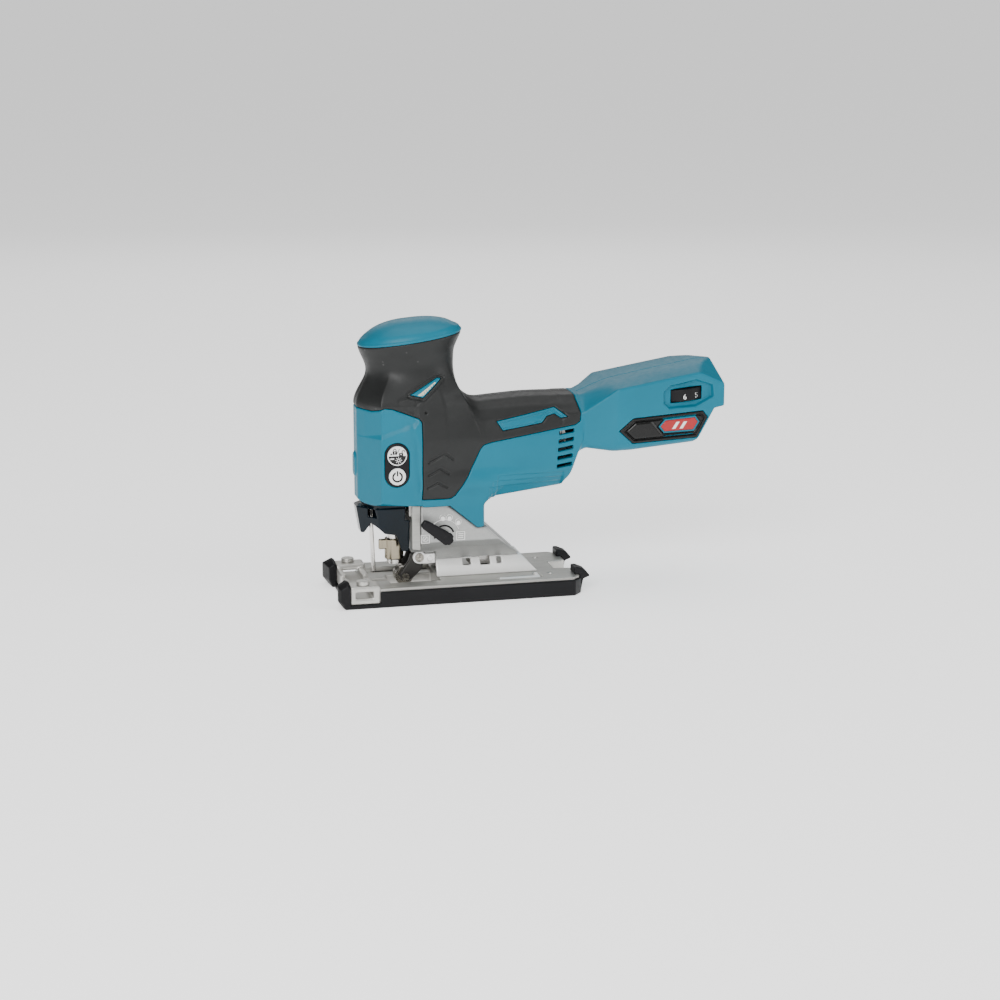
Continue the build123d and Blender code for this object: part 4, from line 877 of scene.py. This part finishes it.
def make_dial():
    """The thumb wheel, ribbed along its rim, with numbers a step apart."""
    points, faces = softened("speed_dial", 0.35, 0.3)
    object_from("dial_wheel", points, faces, "dial", "black_plastic", replaces=["speed_dial"])
    for k, digit in enumerate("654321"):
        curve = bpy.data.curves.new("dial_number_" + digit, "FONT")
        curve.body, curve.size, curve.extrude = digit, 5.2 * MM, 0.10 * MM
        curve.align_x, curve.align_y = "CENTER", "CENTER"
        text = bpy.data.objects.new("dial_number_" + digit, curve)
        turn = radians(29.0 * k - 5.4)
        stand = (Matrix.Translation(Vector(NUMBER_CENTRE) * MM) @ Matrix.Rotation(NUMBER_LEAN, 4, "Y")
                 @ Matrix.Rotation(turn, 4, "Z") @ Matrix.Translation((0, -NUMBER_RADIUS * MM, 0))
                 @ Matrix.Rotation(pi / 2, 4, "X"))
        bpy.context.scene.collection.objects.link(text)
        text.matrix_world = stand
        bpy.context.view_layer.update()
        data = bpy.data.meshes.new_from_object(text.evaluated_get(bpy.context.evaluated_depsgraph_get()))
        data.transform(text.matrix_world)
        bpy.data.objects.remove(text)
        data.materials.clear()
        place_piece("dial_digit_" + digit, data, "dial", "white_print")


def make_grip_marks():
    """The cream wedge in the grip's triangle, with its row of small dots."""
    for side, word in ((-1, "left"), (1, "right")):
        space = Space((-33.0, 10.0, 145.0), (-15.0, 32.0, 159.0), 0.3)
        outer = column_field(space)[0]
        flat = polygon(space.x, space.z, WEDGE)
        field = np.maximum(smooth_max(outer - 0.18, flat, 0.2), -(outer + 1.2))
        dots = np.float32(1e3)
        for k in range(6):
            start, end = Vector((-28.0, 148.3)), Vector((-19.6, 154.6))
            place = start.lerp(end, k / 5)
            dots = np.minimum(dots, np.hypot(space.x - place.x, space.z - place.y) - 0.34)
        field = smooth_max(field, -np.maximum(dots, -outer - 0.3), 0.1)
        field_piece("grip_wedge_" + word, space, field, "tool_body", "cream_inset", mirror=side < 0)


# ---- gear housing, blade end and base ----

def housing_marks(x, z):
    """Raised marks of the cutting action: three dots, a thin arc, and two framed signs."""
    field = np.float32(1e3)
    for cx, cz in ((-13.2, 58.5), (-8.4, 58.3), (-2.0, 54.9)):
        field = np.minimum(field, np.hypot(x - cx, z - cz) - 1.45)
        field = np.minimum(field, ring_field(x, z, cx, cz + 0.6, 2.2, 0.3))
    arc = np.maximum(ring_field(x, z, *LEVER_CENTRE, 11.2, 0.35), LEVER_CENTRE[1] + 4.2 - z)
    field = np.minimum(field, arc)
    for cx, cz in ((-0.4, 45.3), (-25.9, 44.2)):
        field = np.minimum(field, np.abs(box_field(x, z, cx, cz, 2.9, 2.9)) - 0.28)
    for k in (-1.4, 0.0, 1.4):
        field = np.minimum(field, box_field(x, z, -0.4, 45.3 + k, 1.9, 0.32))
    field = np.minimum(field, ring_field(x, z, -25.9, 44.2, 1.8, 0.4))
    return np.minimum(field, polyline(x, z, [(-26.7, 43.2), (-25.0, 45.4)]) - 0.22)


def make_gear_end():
    soft_node("gear_housing", "tool_body", "cast_aluminium", 0.7, 0.5)
    # The raised marks take the pale bright_steel instead of their own cast aluminium: a painted highlight
    # that makes them stand out.
    relief("housing_marks", housing_marks, ((-30.0, 5.0), (40.0, 63.0)), HOUSING_SIDE, 0.6, 0.14,
           "tool_body", "bright_steel", -1, 0.3, 0.15, slot="cast_aluminium")
    for side, word in ((-1, "left"), (1, "right")):
        relief("housing_strip_" + word, lambda x, z: polygon(x, z, HOUSING_STRIP),
               ((-37.0, -28.0), (35.0, 70.0)), HOUSING_SIDE, 0.45, 0.3, "tool_body", "plate_cast", side,
               4.0, 0.6, slot="cast_aluminium")
    # This thin black arc is painted shade: it stands for the shadow in an arc groove of the housing round the
    # lever's pivot.
    relief("lever_arc",
           lambda x, z: np.maximum(ring_field(x, z, *LEVER_CENTRE, 6.9, 1.3), 49.7 - z + 0.3 * x),
           ((-21.0, -3.0), (38.0, 56.0)), HOUSING_SIDE, 0.18, 0.15, "tool_body", "black_plastic", -1,
           0.3, 0.1)
    soft_node("orbit_lever", "orbit", "black_plastic", 1.2, 0.3)
    soft_node("arm_plates", "tool_body", "bright_steel", 0.35, 0.22)
    soft_node("roller_arm", "arm", "black_steel", 0.7, 0.25)
    space = Space((-32.2, -15.2, 24.0), (-24.2, 15.2, 32.2), 0.16)
    reach, out = np.hypot(space.x - ARM_CENTRE[0], space.z - ARM_CENTRE[1]), np.abs(space.y)
    head = smooth_max(reach - 3.2, np.abs(out - 13.95) - 0.65, 0.3)
    head = smooth_max(head, 0.32 - np.hypot(reach - 2.2, out - 14.6), 0.1)
    head = smooth_max(head, 1.3 - np.hypot(reach, out - 15.4), 0.2)
    pin = smooth_min(head, np.maximum(reach - 2.5, out - 13.6), 0.2)
    field_piece("arm_pin_turned", space, pin, "tool_body", "turned_steel", replaces=["arm_pin"], slot="steel")
    space = Space((-16.8, -37.0, 41.8), (-7.8, -35.4, 50.8), 0.14)
    reach = np.hypot(space.x - LEVER_CENTRE[0], space.z - LEVER_CENTRE[1])
    hub = smooth_max(reach - 3.9, np.abs(space.y + 36.28) - 0.22, 0.2)
    hub = smooth_max(hub, 0.25 - np.abs(reach - 2.6) - 5.0 * (space.y > -36.35), 0.1)
    field_piece("lever_hub_cap", space, hub, "orbit", "black_plastic")
    soft_node("clamp_sleeve", "clamp_ring", "nickel", 0.45, 0.22)
    soft_node("dust_cover", "dust_guard", "smoked_clear", 0.4, 0.3)


def tapered_hooks(points):
    """The cover's two front hooks, drawn back and down towards both of their ends."""
    x, y, z = points.T
    side = np.abs(y)
    forward = np.interp(side, [22, 33, 36, 39.5], [0.5, 0.93, 0.93, 0.65])
    upward = np.interp(side, [22, 30, 34, 39.5], [0.72, 0.88, 0.88, 0.72])
    front = x < -79.0
    x = np.where(x < -84.0, -84.0 + (x + 84.0) * forward, x)
    z = np.where(front & (z > 8.0), 8.0 + (z - 8.0) * upward, z)
    return np.stack([x, y, z], 1)


def make_base():
    # Faces that don't face up, and the front blocks, take the paler bright_cast. On the front blocks this is
    # their pale cast finish; on the plate's sides it is a painted highlight, lighter than the grey top.
    soft_node("base_plate", "base", "plate_cast", 0.9, 0.4,
              paint=("bright_cast", lambda p, n: (p[:, 0] < -60.9) | (n[:, 2] < 0.9)))
    soft_node("base_cover", "base", "black_plastic", 0.65, 0.33, tapered_hooks)
    soft_node("tilt_bracket", "base", "bright_steel", 0.35, 0.35)
    for word, place in (("left", "guide_screw_near"), ("right", "guide_screw_far")):
        soft_node("guide_screw_" + word, place, "bright_cast", 0.35, 0.18)


def finish_cad_nodes():
    """Every CAD node that still shows takes its slot's material, or a closer one of the same kind."""
    special = {"rotor_shaft": "steel", "plunger_rod": "rod_steel", "guard_wire": "rod_steel",
               "guide_roller": "turned_steel", "roller_pin": "turned_steel", "blade_clamp": "rod_steel"}
    slots = {row["node"]: row["material_slot"] for row in frame["record"]["subparts"]}
    for name, piece in frame["nodes"].items():
        if not piece.hide_render:
            piece.data.materials.clear()
            piece.data.materials.append(MATERIALS[special.get(name, slots[name])])


# ---- the model ----

MATERIALS = make_materials()
make_camera()
make_stage()
for make in (make_casing, make_cap, make_buttons, make_inlays, make_dial, make_grip_marks, make_gear_end,
             make_base):
    make()
finish_cad_nodes()
